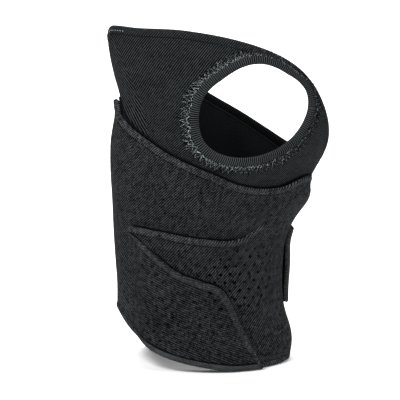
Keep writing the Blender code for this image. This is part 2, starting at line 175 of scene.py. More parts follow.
class ArmForm:
    """The form that every layer is bent onto."""

    shift = (-9.05, 0.45)
    left = SmoothCurve(
        (0, -48.5), (35, -48.5), (65, -49.5), (102, -51.8), (135, -52.5), (155, -51.8), (170, -51.5),
        (186, -55), (202, -58.5), (220, -59.5),
    )
    right = SmoothCurve(
        (0, 48.5), (8, 49.5), (33, 45.6), (63, 46.4), (80, 48.4), (90, 52), (103, 59.5), (115, 63.5),
        (127, 70), (140, 76), (155, 79), (170, 80), (220, 80),
    )
    front_depth = SmoothCurve((0, 35.5), (50, 34.5), (100, 36), (140, 39), (180, 36), (220, 26))
    back_depth = SmoothCurve((0, 35), (50, 33), (100, 34), (140, 32), (180, 22), (220, 10))
    pinch = SmoothCurve((0, 1.0), (90, 1.0), (130, 1.1), (170, 1.3), (220, 1.4))
    opening_centre = (22.45, 168.0)
    opening_reach = (
        35.3, 35.6, 33.7, 31.3, 30.5, 30.2, 29.6, 28.8, 28.3, 28.8, 31.0, 33.6,
        35.0, 36.3, 37.0, 35.4, 32.8, 30.5, 29.1, 28.5, 28.9, 29.8, 31.4, 33.4,
    )
    narrow_turn = 30.0
    narrow_share = 0.32
    dent_count = 26
    dent_seed = 11
    dent_low = (0, 10, 10, 9, -0.9)
    dent_high = (360, 205, 22, 20, 0.9)
    folds = ((197, 150, 4, 18, 0.9), (190, 148, 3.5, 18, -0.8), (300, 108, 9, 7, 0.9), (312, 98, 9, 6, -0.8))
    half_step = 0.5
    arc_samples = 24
    search_steps = 26

    def __init__(self) -> None:
        """Places the soft dents and swellings that all the layers share.

        Each is an angle, a height, how far it spreads both ways and how far it stands out.
        """
        source = np.random.default_rng(self.dent_seed)
        ranges = zip(self.dent_low, self.dent_high)
        columns = [source.uniform(low, high, self.dent_count) for low, high in ranges]
        self.dents = np.vstack((np.column_stack(columns), self.folds))

    def at(self, angle: np.ndarray, height: np.ndarray) -> np.ndarray:
        """Places on the arm itself.

        Args:
            angle: Angles round the form, in degrees.
            height: Heights, in millimetres.

        Returns:
            An array of places with x, y and z in its last axis.
        """
        angle, height = np.broadcast_arrays(np.asarray(angle, float), np.asarray(height, float))
        a = np.radians(angle)
        left, right = self.left(height), self.right(height)
        depth = np.where(np.sin(a) < 0, self.front_depth(height), self.back_depth(height))
        x = (left + right) / 2 + (right - left) / 2 * np.cos(a)
        y = depth * np.sign(np.sin(a)) * np.abs(np.sin(a)) ** self.pinch(height)
        return np.stack((x + self.shift[0], y + self.shift[1], height), axis=-1)

    def ripple(self, angle: np.ndarray, height: np.ndarray) -> np.ndarray:
        """Adds up the dents and swellings of the soft cloth.

        Args:
            angle: Angles round the form.
            height: Heights.

        Returns:
            How far the cloth stands out from the smooth form at each place.
        """
        total = np.zeros(np.broadcast(angle, height).shape)
        for middle, level, wide, tall, size in self.dents:
            off = (np.asarray(angle) - middle + 180) % 360 - 180
            total += size * np.exp(-((off / wide) ** 2) - ((height - level) / tall) ** 2)
        return total

    def place(self, angle: np.ndarray, height: np.ndarray, out: np.ndarray | float) -> np.ndarray:
        """Places at a level distance out from the arm, square to the form seen from above.

        Args:
            angle: Angles round the form.
            height: Heights.
            out: Distances out from the arm.

        Returns:
            An array of places with x, y and z in its last axis.
        """
        step = self.at(angle + self.half_step, height) - self.at(angle - self.half_step, height)
        normal = np.stack((step[..., 1], -step[..., 0], np.zeros(step.shape[:-1])), axis=-1)
        normal /= np.linalg.norm(normal, axis=-1, keepdims=True)
        out = np.broadcast_to(np.asarray(out, float), step.shape[:-1]) + self.ripple(angle, height)
        return self.at(angle, height) + normal * out[..., None]

    def pace(self, angle: np.ndarray, height: np.ndarray) -> np.ndarray:
        """Measures a degree's length along the sleeve's outside.

        Args:
            angle: Angles round the form.
            height: Heights.

        Returns:
            The millimetres along the cloth for each degree, at each place.
        """
        after = self.place(angle + self.half_step, height, LAYERS.sleeve)
        before = self.place(angle - self.half_step, height, LAYERS.sleeve)
        return np.linalg.norm((after - before)[..., :2], axis=-1)

    def along(self, angle: np.ndarray, height: np.ndarray) -> np.ndarray:
        """Measures round the form from the middle of the front.

        Args:
            angle: Angles round the form.
            height: Heights.

        Returns:
            The millimetres along the cloth to each place.
        """
        angle, height = np.broadcast_arrays(np.asarray(angle, float), np.asarray(height, float))
        shares = (np.arange(self.arc_samples) + 0.5) / self.arc_samples
        span = (angle - FRONT)[..., None]
        paces = self.pace(FRONT + span * shares, np.repeat(height[..., None], self.arc_samples, axis=-1))
        return paces.mean(axis=-1) * span[..., 0]

    def angle_at(self, x: np.ndarray, height: np.ndarray) -> np.ndarray:
        """Finds the angles on the front where the sleeve's outside passes over x.

        Args:
            x: Distances to the right of the middle.
            height: Heights.

        Returns:
            The angle for each x and height.
        """
        x, height = np.broadcast_arrays(np.asarray(x, float), np.asarray(height, float))
        low, high = np.full(x.shape, 181.0), np.full(x.shape, 359.9)
        for _ in range(self.search_steps):
            middle = (low + high) / 2
            short = self.place(middle, height, LAYERS.sleeve)[..., 0] < x
            low, high = np.where(short, middle, low), np.where(short, high, middle)
        return (low + high) / 2

    def reach(self, turn: np.ndarray) -> np.ndarray:
        """Measures the elbow opening from its centre, along a smooth line through the listed reaches.

        Args:
            turn: Directions from the centre, in radians.

        Returns:
            How far the opening reaches in each direction.
        """
        count = len(self.opening_reach)
        step = np.asarray(turn, float) / (2 * np.pi) * count
        i = np.floor(step).astype(int)
        t = step - i
        reach = np.array(self.opening_reach)
        before, start, end, after = (reach[(i + k) % count] for k in (-1, 0, 1, 2))
        bend = 2 * before - 5 * start + 4 * end - after
        twist = 3 * (start - end) + after - before
        return start + t / 2 * (end - before + t * (bend + t * twist))

    def narrowing(self, turn: np.ndarray) -> np.ndarray:
        """The share of a ring's full width there is room for at each turn round the opening."""
        off = (np.degrees(turn) + 180 - self.narrow_turn) % 360 - 180
        return 1 - self.narrow_share * np.exp(-((off / 40) ** 2))

    def opening(self, turn: np.ndarray, wider: np.ndarray | float) -> tuple[np.ndarray, np.ndarray]:
        """Follows the elbow opening's rim, or a line outside it.

        Args:
            turn: Directions from the centre, in radians.
            wider: How far outside the rim.

        Returns:
            The angles and the heights.
        """
        reach = self.reach(turn) + wider * self.narrowing(turn)
        height = self.opening_centre[1] + reach * np.sin(turn)
        return self.angle_at(self.opening_centre[0] + reach * np.cos(turn), height), height


class Edges:
    """The edges of the cloth pieces: height by angle round the form."""

    front_rim = SmoothCurve(
        (180, 209), (183.3, 212.2), (187, 215.2), (192.6, 217), (202, 217.8), (224, 217.8), (237.5, 218.2),
        (249, 218), (259.6, 216.6), (272, 214), (284.4, 210), (297.4, 204.3), (308, 197.9), (315.9, 191.6),
        (325.3, 181.8), (333.6, 171.3), (339.3, 164.1), (346.8, 154.4), (352.5, 146.1), (360, 132),
    )
    back_rim = SmoothCurve(
        (0, 131), (30.6, 132.5), (49.4, 136.7), (66.3, 145.3), (81.8, 155.6), (99.6, 168), (120.2, 186.3),
        (138.1, 200.4), (163.3, 211.5), (180, 212),
    )
    wrap_top = SmoothCurve(
        (100, 128), (120, 136), (150, 152), (168, 162), (176, 167), (184, 169.6), (190, 168), (195, 163.6),
        (200.6, 159.4), (215.1, 152.4), (227, 147), (237.3, 141.6), (252.6, 134.6), (267.3, 128.4),
        (282.7, 121.6), (296.9, 118.4), (305.7, 117.8), (316.6, 118.6), (323.5, 120.8), (332, 122.2),
        (341, 122), (347, 120.8), (353, 118.4), (360, 116), (368, 115.4), (378, 116), (400, 119.5),
        (440, 123),
    )
    hem_line = SmoothCurve(
        (100, 0), (128, 0), (140, 7.5), (150, 15), (165, 26), (181, 33), (193.6, 31), (200, 28),
        (211.6, 21.8), (218.3, 18.7), (232.1, 12.2), (240.9, 9), (254.3, 5.7), (267, 3.2), (279.5, 1.2),
        (290, 0), (300, 0), (440, 0),
    )
    lower_top = SmoothCurve(
        (212, 92), (229.6, 91.3), (240.7, 90.3), (261.1, 87.6), (277.3, 85.9), (287.3, 85.3), (297.2, 87.2),
        (304.1, 91.7), (311.1, 97.3), (316.1, 103), (321.7, 108.5), (328, 114), (340, 117), (360, 113),
        (400, 104), (430, 98),
    )
    flap_start = 212.6
    flap = SmoothCurve(
        (flap_start, 88.5), (221.3, 85.4), (234.3, 76.4), (245.2, 69.3), (255.5, 63.8), (269, 59.5),
        (279.1, 56.1), (283.9, 54), (289.5, 47.1), (296.4, 33.2), (301.6, 19.2), (310.1, 3.6), (312, 1),
    )
    floor_gap = 0.4

    @staticmethod
    def hem(angle: np.ndarray) -> np.ndarray:
        """The wrap's lower edge, which never reaches below the plane the support stands on."""
        return np.maximum(Edges.hem_line(angle), 0.0) + Edges.floor_gap


FORM = ArmForm()
HINGE = 212.4
STITCH_GAP = 0.7
COOL = 0.10


# ---------------------------------------------------------------- meshes


def piece_from(
    name: str, places: np.ndarray, faces: list[Face], cloth: np.ndarray | None = None
) -> bpy.types.Object:
    """Makes a smooth-shaded object from places in millimetres.

    Args:
        name: The object's name.
        places: The vertices, one row each.
        faces: The vertex numbers of each face.
        cloth: The vertices' places on the flat cloth, in millimetres.

    Returns:
        The new object, in the scene.
    """
    mesh = bpy.data.meshes.new(name)
    mesh.from_pydata((np.asarray(places, float) * MM).tolist(), [], faces)
    if cloth is not None:
        flat = np.zeros((len(places), 3), np.float32)
        flat[:, : cloth.shape[1]] = cloth
        mesh.attributes.new(CLOTH, "FLOAT_VECTOR", "POINT").data.foreach_set("vector", flat.ravel())
    mesh.shade_smooth()
    mesh.validate()
    return linked(name, mesh)


def linked(name: str, data: bpy.types.ID) -> bpy.types.Object:
    """Makes an object of a mesh, curve, lamp or camera, and puts it in the scene.

    Args:
        name: The object's name.
        data: What it shows.

    Returns:
        The new object.
    """
    made = bpy.data.objects.new(name, data)
    bpy.context.scene.collection.objects.link(made)
    return made


def grid_faces(columns: int, rows: int) -> list[Face]:
    """Lists the faces of a grid whose vertices are numbered column by column.

    Args:
        columns: How many columns of vertices it has.
        rows: How many vertices a column has.

    Returns:
        The vertex numbers of each face.
    """
    faces = []
    for i in range(columns - 1):
        for j in range(rows - 1):
            k = i * rows + j
            faces.append((k, k + rows, k + rows + 1, k + 1))
    return faces


def tube_faces(steps: int, count: int, closed: bool) -> list[Face]:
    """Lists the faces of a tube of closed sections, with flat ends unless it runs back to its start.

    Args:
        steps: How many sections it has.
        count: How many vertices a section has.
        closed: Whether the last section joins the first.

    Returns:
        The vertex numbers of each face.
    """
    faces: list[Face] = []
    for i in range(steps if closed else steps - 1):
        k = (i + 1) % steps
        for j in range(count):
            m = (j + 1) % count
            faces.append((i * count + j, k * count + j, k * count + m, i * count + m))
    if not closed:
        faces.append(tuple(range(count - 1, -1, -1)))
        faces.append(tuple((steps - 1) * count + j for j in range(count)))
    return faces


def apply_modifiers(piece: bpy.types.Object) -> None:
    """Makes what a piece's modifiers give its own mesh.

    Args:
        piece: The piece.
    """
    bpy.context.view_layer.update()
    evaluated = piece.evaluated_get(bpy.context.evaluated_depsgraph_get())
    mesh = bpy.data.meshes.new_from_object(evaluated)
    piece.modifiers.clear()
    piece.data = mesh


def keep_borders_square(piece: bpy.types.Object) -> None:
    """Creases the edges between marked vertices, so that another sheet can lie flush against them.

    Args:
        piece: The piece, whose border vertices are marked.
    """
    mesh = piece.data
    marks = np.zeros(len(mesh.vertices), np.float32)
    mesh.attributes[BORDER].data.foreach_get("value", marks)
    ends = np.zeros(len(mesh.edges) * 2, np.int32)
    mesh.edges.foreach_get("vertices", ends)
    creases = (marks[ends.reshape(-1, 2)] > 0.5).all(axis=1).astype(np.float32)
    mesh.attributes.new(CREASE, "FLOAT", "EDGE").data.foreach_set("value", creases)


def thicken(piece: bpy.types.Object, thickness: float) -> None:
    """Gives a sheet its thickness on both sides and rounds its edges, all but its marked borders.

    Args:
        piece: The sheet.
        thickness: Its full thickness.
    """
    wall = piece.modifiers.new("thickness", "SOLIDIFY")
    wall.thickness = thickness * MM
    wall.offset = 0.0
    wall.material_offset = 1
    wall.material_offset_rim = 0
    if BORDER in piece.data.attributes:
        apply_modifiers(piece)
        keep_borders_square(piece)
    soft = piece.modifiers.new("soft", "SUBSURF")
    soft.levels = soft.render_levels = 1


@dataclass
class Panel:
    """A sheet of cloth between two edges.

    Attributes:
        name: The piece's name.
        angles: The angles of its columns.
        bottom: Its lower edge.
        top: Its upper edge.
        middle: How far out its middle lies.
        thickness: How thick it is.
        rows: How many rows of faces it has.
        border: The angle of an edge that stays square, or None.
        slit: A line below which the cloth ends at the border, or None.
        slit_rows: How many rows of faces lie below the slit.
    """

    name: str
    angles: np.ndarray
    bottom: Edge
    top: Edge
    middle: Field
    thickness: float
    rows: int
    border: float | None = None
    slit: Edge | None = None
    slit_rows: int = 0

    def _places(self) -> tuple[np.ndarray, np.ndarray]:
        """Spaces the grid's vertices between the edges, with a row along the slit.

        Returns:
            The angle and the height of each vertex.
        """
        low, high = self.bottom(self.angles)[:, None], self.top(self.angles)[:, None]
        share = np.linspace(0, 1, self.rows + 1)[None, :]
        if self.slit is None:
            height = low + (high - low) * share
        else:
            slit = self.slit(self.angles)[:, None]
            below = np.linspace(0, 1, self.slit_rows, endpoint=False)[None, :]
            height = np.hstack((low + (slit - low) * below, slit + (high - slit) * share))
        return np.repeat(self.angles[:, None], height.shape[1], axis=1), height

    def build(self, cut: Callable[[np.ndarray, np.ndarray], tuple] | None = None) -> bpy.types.Object:
        """Builds the sheet.

        Args:
            cut: Moves angles and heights out of a hole, and marks the vertices that were in it.

        Returns:
            The sheet, with its thickness as modifiers.
        """
        angle, height = self._places()
        faces = np.array(grid_faces(*angle.shape))
        if cut is not None:
            angle, height, gone = cut(angle, height)
            faces = faces[~gone.ravel()[faces].all(axis=1)]
        if self.slit is not None:
            gone = (angle > self.border + NUDGE) & (np.arange(angle.shape[1])[None, :] < self.slit_rows)
            faces = faces[~gone.ravel()[faces].any(axis=1)]
        places = FORM.place(angle, height, self.middle(angle, height)).reshape(-1, 3)
        cloth = np.stack((FORM.along(angle, height), height), axis=-1).reshape(-1, 2)
        used = np.unique(faces)
        renumber = np.zeros(len(places), int)
        renumber[used] = np.arange(len(used))
        made = piece_from(self.name, places[used], renumber[faces].tolist(), cloth[used])
        if self.border is not None:
            self._mark_border(made, angle, used)
        thicken(made, self.thickness)
        return made

    def _mark_border(self, made: bpy.types.Object, angle: np.ndarray, used: np.ndarray) -> None:
        """Marks the vertices of the edge that stays square.

        Args:
            made: The sheet.
            angle: The angle of each vertex of the grid.
            used: The numbers of the vertices that the sheet has kept.
        """
        marks = np.abs(angle - self.border) < NUDGE
        if self.slit is not None:
            marks[:, self.slit_rows + 1:] = False
        data = made.data.attributes.new(BORDER, "FLOAT", "POINT").data
        data.foreach_set("value", marks.ravel()[used].astype(np.float32))


class Path:
    """A line on the form, in even steps, with the direction across it."""

    def __init__(self, angle: np.ndarray, height: np.ndarray, step: float, closed: bool = False) -> None:
        """Spaces the line out evenly.

        Args:
            angle: Angles of the line's points.
            height: Their heights.
            step: The spacing wanted.
            closed: Whether the line runs back to its start.
        """
        self.closed = closed
        if closed:
            angle, height = np.append(angle, angle[0]), np.append(height, height[0])
        places = FORM.place(angle, height, LAYERS.sleeve)
        run = np.concatenate(([0], np.cumsum(np.linalg.norm(np.diff(places, axis=0), axis=1))))
        self.length = float(run[-1])
        count = max(int(round(self.length / step)), 3)
        self.run = np.linspace(0, self.length, count + 1)
        if closed:
            self.run = self.run[:-1]
        self.angle, self.height = np.interp(self.run, run, angle), np.interp(self.run, run, height)
        self.across = self._square()

    def _square(self) -> np.ndarray:
        """Finds the direction across the line at each step, towards its upper side.

        Returns:
            The change of angle and of height for each millimetre, one row a step.
        """
        pace = FORM.pace(self.angle, self.height)
        if self.closed:
            turned = (np.roll(self.angle, -1) - np.roll(self.angle, 1)) * pace
            climbed = np.roll(self.height, -1) - np.roll(self.height, 1)
        else:
            turned, climbed = np.gradient(self.angle) * pace, np.gradient(self.height)
        size = np.maximum(np.hypot(turned, climbed), 1e-9)
        return np.stack((-climbed / size / pace, turned / size), axis=-1)

    def beside(self, away: np.ndarray | float) -> tuple[np.ndarray, np.ndarray]:
        """The line's angles and heights that much to its upper side."""
        return self.angle + self.across[:, 0] * away, self.height + self.across[:, 1] * away

    def level(self, out: Field | float) -> np.ndarray:
        """Reads a distance out at each step.

        Args:
            out: The same distance everywhere, or one that varies over the form.

        Returns:
            The distance at each step.
        """
        if callable(out):
            return out(self.angle, self.height)
        return np.full(len(self.run), float(out))


def path_on(edge: Edge, start: float, end: float, step: float = 2.5) -> Path:
    """The path along an edge between two angles."""
    angle = np.linspace(start, end, 400)
    return Path(angle, edge(angle), step)


def upright(angle: float, low: float, high: float) -> Path:
    """The path straight up the form between two heights."""
    return Path(np.full(200, angle), np.linspace(low, high, 200), 2.5)


def band(
    name: str,
    path: Path,
    profile: list[tuple[float, float]],
    middle: Field | float,
    side: Side = Side.BELOW,
    width: np.ndarray | float = 1.0,
    swell: np.ndarray | float = 0.0,
    same_cloth: bool = False,
) -> bpy.types.Object:
    """A tape or rib with a closed profile, swept along a path.

    Args:
        name: The piece's name.
        path: The edge it follows.
        profile: Points (distance from the edge into the cloth, distance out from the middle), in order.
        middle: How far out the cloth's middle lies.
        side: The side of the edge that the cloth is on.
        width: Scales the distance from the edge, all along or at each step.
        swell: Added to the distance out of the profile's outer and inner points, at each step.
        same_cloth: Whether it is the panel's own cloth turned over, so that the knit runs on.

    Returns:
        The closed band.
    """
    rows, flat = [], []
    level = path.level(middle)
    for away, out in profile:
        angle, height = path.beside(side.value * away * width)
        grow = np.sign(out) * swell if abs(out) > 0.3 else 0.0
        rows.append(FORM.place(angle, height, level + out + grow))
        flat.append(np.stack((FORM.along(angle, height), height), axis=-1))
    places = np.stack(rows, axis=1).reshape(-1, 3)
    if same_cloth:
        cloth = np.stack(flat, axis=1).reshape(-1, 2)
    else:
        around = np.cumsum([0.0] + [math.dist(a, b) for a, b in zip(profile, profile[1:])])
        cloth = np.stack(np.broadcast_arrays(path.run[:, None], around[None, :]), axis=-1).reshape(-1, 2)
    faces = tube_faces(len(path.run), len(profile), path.closed)
    if side is Side.ABOVE:
        faces = [tuple(reversed(face)) for face in faces]
    made = piece_from(name, places, faces, cloth)
    outwards(made)
    return made


def outwards(piece: bpy.types.Object) -> None:
    """Turns a closed mesh's faces outwards.

    Args:
        piece: The piece.
    """
    built = bmesh.new()
    built.from_mesh(piece.data)
    bmesh.ops.recalc_face_normals(built, faces=built.faces[:])
    if built.calc_volume(signed=True) < 0:
        bmesh.ops.reverse_faces(built, faces=built.faces[:])
    built.to_mesh(piece.data)
    built.free()


def tape_profile(width: float, thickness: float, proud: float) -> list[tuple[float, float]]:
    """The section of a tape or of turned cloth over an edge: flat sides and a round fold at the edge.

    Args:
        width: How far it reaches into the cloth.
        thickness: The cloth's thickness.
        proud: How far it stands out of the cloth.

    Returns:
        The section's points, as band takes them.
    """
    half = thickness / 2
    return [
        (width, half + proud * 0.15), (width * 0.86, half + proud), (width * 0.5, half + proud * 1.15),
        (width * 0.22, half + proud), (0.0, half * 0.55), (-0.315, 0.0), (0.0, -half * 0.55),
        (width * 0.22, -half - proud * 0.5), (width * 0.5, -half - proud * 0.6),
        (width * 0.86, -half - proud * 0.5), (width, -half - proud * 0.05),
    ]


def thread(name: str, places: np.ndarray, thickness: float, closed: bool = False) -> bpy.types.Object:
    """A sewing thread or cord, as a mesh tube.

    Args:
        name: The piece's name.
        places: The places it runs through, in millimetres.
        thickness: Its diameter.
        closed: Whether it runs back to its start.

    Returns:
        The thread.
    """
    curve = bpy.data.curves.new(name, "CURVE")
    curve.dimensions = "3D"
    curve.bevel_depth = thickness / 2 * MM
    curve.bevel_resolution = 1
    curve.use_fill_caps = not closed
    line = curve.splines.new("POLY")
    line.points.add(len(places) - 1)
    line.points.foreach_set("co", np.column_stack((places * MM, np.ones(len(places)))).ravel())
    line.use_cyclic_u = closed
    helper = linked(name, curve)
    bpy.context.view_layer.update()
    mesh = bpy.data.meshes.new_from_object(helper.evaluated_get(bpy.context.evaluated_depsgraph_get()))
    bpy.data.objects.remove(helper)
    mesh.name = name
    mesh.shade_smooth()
    return linked(name, mesh)


def running_stitches(
    name: str, path: Path, away: float, out: Field | float, length: float = 2.2, thickness: float = 0.5
) -> bpy.types.Object:
    """A row of short stitches beside a path, each a small arch whose ends sink into the cloth.

    Args:
        name: The piece's name.
        path: The path.
        away: How far to its upper side the row runs.
        out: How far out the cloth's face lies.
        length: How long a stitch is.
        thickness: The thread's diameter.

    Returns:
        The row, as one piece.
    """
    angle, height = path.beside(away)
    level = path.level(out)
    count = int(path.length / (length + STITCH_GAP))
    rise = np.array((-0.35, 0.05, 0.16, 0.05, -0.35))
    shares = np.linspace(0, 1, len(rise))
    turns = np.linspace(0, 2 * np.pi, 6, endpoint=False)
    one = tube_faces(len(rise), len(turns), False)
    places, faces = [], []
    for i in range(count):
        run = (i + 0.15) * path.length / count + shares * length
        a, h = np.interp(run, path.run, angle), np.interp(run, path.run, height)
        line = FORM.place(a, h, np.interp(run, path.run, level) + rise)
        along = np.gradient(line, axis=0)
        along /= np.linalg.norm(along, axis=1, keepdims=True)
        outward = FORM.place(a, h, 1.0) - FORM.place(a, h, 0.0)
        beside = np.cross(along, outward)
        faces += [tuple(len(places) + j for j in face) for face in one]
        for k in range(len(rise)):
            for turn in turns:
                spoke = outward[k] * np.sin(turn) + beside[k] * np.cos(turn)
                places.append(line[k] + spoke * thickness / 2)
    made = piece_from(name, np.array(places), faces)
    outwards(made)
    return made


def settle(piece: bpy.types.Object, body: Body, slot: str, *nodes: str) -> bpy.types.Object:
    """Rides a piece on its body and hides the CAD nodes it stands for.

    Args:
        piece: The piece.
        body: The body it moves with.
        slot: The record's material slot; not used.
        nodes: The CAD nodes it replaces, if any.

    Returns:
        The same piece.
    """
    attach(piece, body.value)
    if nodes:
        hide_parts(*nodes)
    log.info("built %s on %s", piece.name, body.value)
    return piece


def hang(
    piece: bpy.types.Object, body: Body, bend: list[np.ndarray], slot: str, *nodes: str
) -> bpy.types.Object:
    """Applies the modifiers of a piece that is sewn to the sleeve and to a body that opens, bakes its
    transform and hides the CAD nodes it stands for.

    Args:
        piece: The piece, whose modifiers are applied first.
        body: The body that opens.
        bend: The two places, in millimetres, that the bend lies between; not used.
        slot: The record's material slot; not used.
        nodes: The CAD nodes it replaces, if any.

    Returns:
        The same piece.
    """
    if piece.modifiers:
        apply_modifiers(piece)
    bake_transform(piece)
    if nodes:
        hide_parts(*nodes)
    log.info("hung %s between %s and %s", piece.name, Body.SLEEVE.value, body.value)
    return piece


# ---------------------------------------------------------------- finishes


class Tree:
    """A material's node tree, with short ways to add nodes."""

    def __init__(self, name: str) -> None:
        """Makes an empty material with its shader.

        Args:
            name: The material's name.
        """
        self.material = bpy.data.materials.new(name)
        self.material.use_nodes = True
        self.nodes, self.links = self.material.node_tree.nodes, self.material.node_tree.links
        self.shader = self.nodes["Principled BSDF"]

    def link(self, source: Value, target: Socket) -> None:
        """Joins an output to an input, or sets the input to a number.

        Args:
            source: The output, or the number or numbers.
            target: The input.
        """
        if hasattr(source, "is_output"):
            self.links.new(source, target)
        else:
            target.default_value = source

    def math(self, operation: str, *values: Value) -> Socket:
        """Adds a Math node.

        Args:
            operation: What it works out.
            values: What its inputs are given, in order.

        Returns:
            Its output.
        """
        node = self.nodes.new("ShaderNodeMath")
        node.operation = operation
        for value, socket in zip(values, node.inputs):
            self.link(value, socket)
        return node.outputs[0]

    def vector(self, operation: str, *values: Value, output: str = "Vector") -> Socket:
        """Adds a Vector Math node.

        Args:
            operation: What it works out.
            values: What its inputs are given, in order.
            output: The name of the output wanted.

        Returns:
            That output.
        """
        node = self.nodes.new("ShaderNodeVectorMath")
        node.operation = operation
        for value, socket in zip(values, node.inputs):
            self.link(value, socket)
        return node.outputs[output]

    def noise(
        self, where: Socket, scale: float, detail: float = 2.0, roughness: float = 0.5, output: str = "Fac"
    ) -> Socket:
        """Adds a Noise Texture.

        Args:
            where: The place it is read at.
            scale: How fine it is.
            detail: How many finer layers it has.
            roughness: How strong the finer layers are.
            output: The name of the output wanted.

        Returns:
            That output.
        """
        node = self.nodes.new("ShaderNodeTexNoise")
        self.link(where, node.inputs["Vector"])
        node.inputs["Scale"].default_value = scale
        node.inputs["Detail"].default_value = detail
        node.inputs["Roughness"].default_value = roughness
        return node.outputs[output]

    def between(
        self, value: Value, low: float, high: float, to_low: float = 0.0, to_high: float = 1.0
    ) -> Socket:
        """Adds a smooth Map Range.

        Args:
            value: What it maps.
            low: The value that gives to_low.
            high: The value that gives to_high.
            to_low: The result at low and below.
            to_high: The result at high and above.

        Returns:
            Its result.
        """
        node = self.nodes.new("ShaderNodeMapRange")
        node.interpolation_type = "SMOOTHSTEP"
        for socket, number in zip(node.inputs, (value, low, high, to_low, to_high)):
            self.link(number, socket)
        return node.outputs["Result"]

    def vary(self, shade: Value, factor: Socket, strength: float) -> Socket:
        """Raises and lowers a shade by a factor whose middle is a half.

        Args:
            shade: The shade.
            factor: The factor, from 0 to 1.
            strength: How strongly it counts.

        Returns:
            The varied shade.
        """
        return self.math("MULTIPLY_ADD", self.math("SUBTRACT", factor, 0.5), strength, shade)

    def parts(self, where: Socket) -> bpy.types.NodeOutputs:
        """Splits a place into its X, Y and Z.

        Args:
            where: The place.

        Returns:
            The three outputs.
        """
        node = self.nodes.new("ShaderNodeSeparateXYZ")
        self.link(where, node.inputs[0])
        return node.outputs

    def mix(self, share: Socket, first: Socket, second: Socket) -> Socket:
        """Mixes two values.

        Args:
            share: 0 for all of the first and 1 for all of the second.
            first: The first value.
            second: The second value.

        Returns:
            The mixed value.
        """
        node = self.nodes.new("ShaderNodeMix")
        for name, value in (("Factor", share), ("A", first), ("B", second)):
            self.link(value, node.inputs[name])
        return node.outputs["Result"]

    def cloth(self) -> Socket:
        """Reads the place on the flat cloth.

        Returns:
            The place, in millimetres.
        """
        node = self.nodes.new("ShaderNodeAttribute")
        node.attribute_name = CLOTH
        return node.outputs["Vector"]

    def place(self) -> Socket:
        """The place in the object, in millimetres."""
        node = self.nodes.new("ShaderNodeTexCoord")
        return self.vector("MULTIPLY", node.outputs["Object"], (1 / MM,) * 3)

    def wave(self, where: Socket, direction: float, period: float, wobble: Socket | None = None) -> Socket:
        """Makes parallel lines.

        Args:
            where: The place they are read at.
            direction: The angle across the lines.
            period: Their spacing.
            wobble: Shifts them, in radians, or None.

        Returns:
            A value from -1 to 1.
        """
        turns = 2 * math.pi / period
        a = math.radians(direction)
        across = (math.cos(a) * turns, math.sin(a) * turns, 0.0)
        flat = self.vector("DOT_PRODUCT", where, across, output="Value")
        if wobble is not None:
            flat = self.math("ADD", flat, wobble)
        return self.math("SINE", flat)

    def colour(self, factor: Socket, stops: list[tuple[float, Triple]]) -> None:
        """Drives the base colour by a ramp.

        Args:
            factor: Where on the ramp each place is.
            stops: The ramp's places and colours, in order.
        """
        node = self.nodes.new("ShaderNodeValToRGB")
        elements = node.color_ramp.elements
        while len(elements) < len(stops):
            elements.new(0.5)
        for element, (place, rgb) in zip(elements, stops):
            element.position = place
            element.color = (*rgb, 1.0)
        self.link(factor, node.inputs["Fac"])
        self.links.new(node.outputs["Color"], self.shader.inputs["Base Color"])

    def bump(self, height: Socket, strength: float, distance: float) -> None:
        """Gives the surface a relief, after any it already has.

        Args:
            height: The relief.
            strength: How strongly it shows.
            distance: How high it stands, in millimetres.
        """
        node = self.nodes.new("ShaderNodeBump")
        node.inputs["Strength"].default_value = strength
        node.inputs["Distance"].default_value = distance * MM
        self.link(height, node.inputs["Height"])
        before = self.shader.inputs["Normal"].links
        if before:
            self.links.new(before[0].from_socket, node.inputs["Normal"])
        self.links.new(node.outputs["Normal"], self.shader.inputs["Normal"])

    def surface(self, fleck: Socket, slope: float, rough: float, **shine: float) -> None:
        """Sets how rough and how shiny the surface is.

        Args:
            fleck: What the roughness varies with.
            slope: How much rougher it is where the fleck is 1.
            rough: The roughness where the fleck is 0.
            shine: Shader inputs to set, with _ for each space.
        """
        self.link(self.math("MULTIPLY_ADD", fleck, slope, rough), self.shader.inputs["Roughness"])
        for name, value in shine.items():
            self.shader.inputs[name.replace("_", " ")].default_value = value


def grey(level: float) -> Triple:
    """A slightly cool grey."""
    return (level * (1 - COOL), level, level * (1 + COOL / 2))


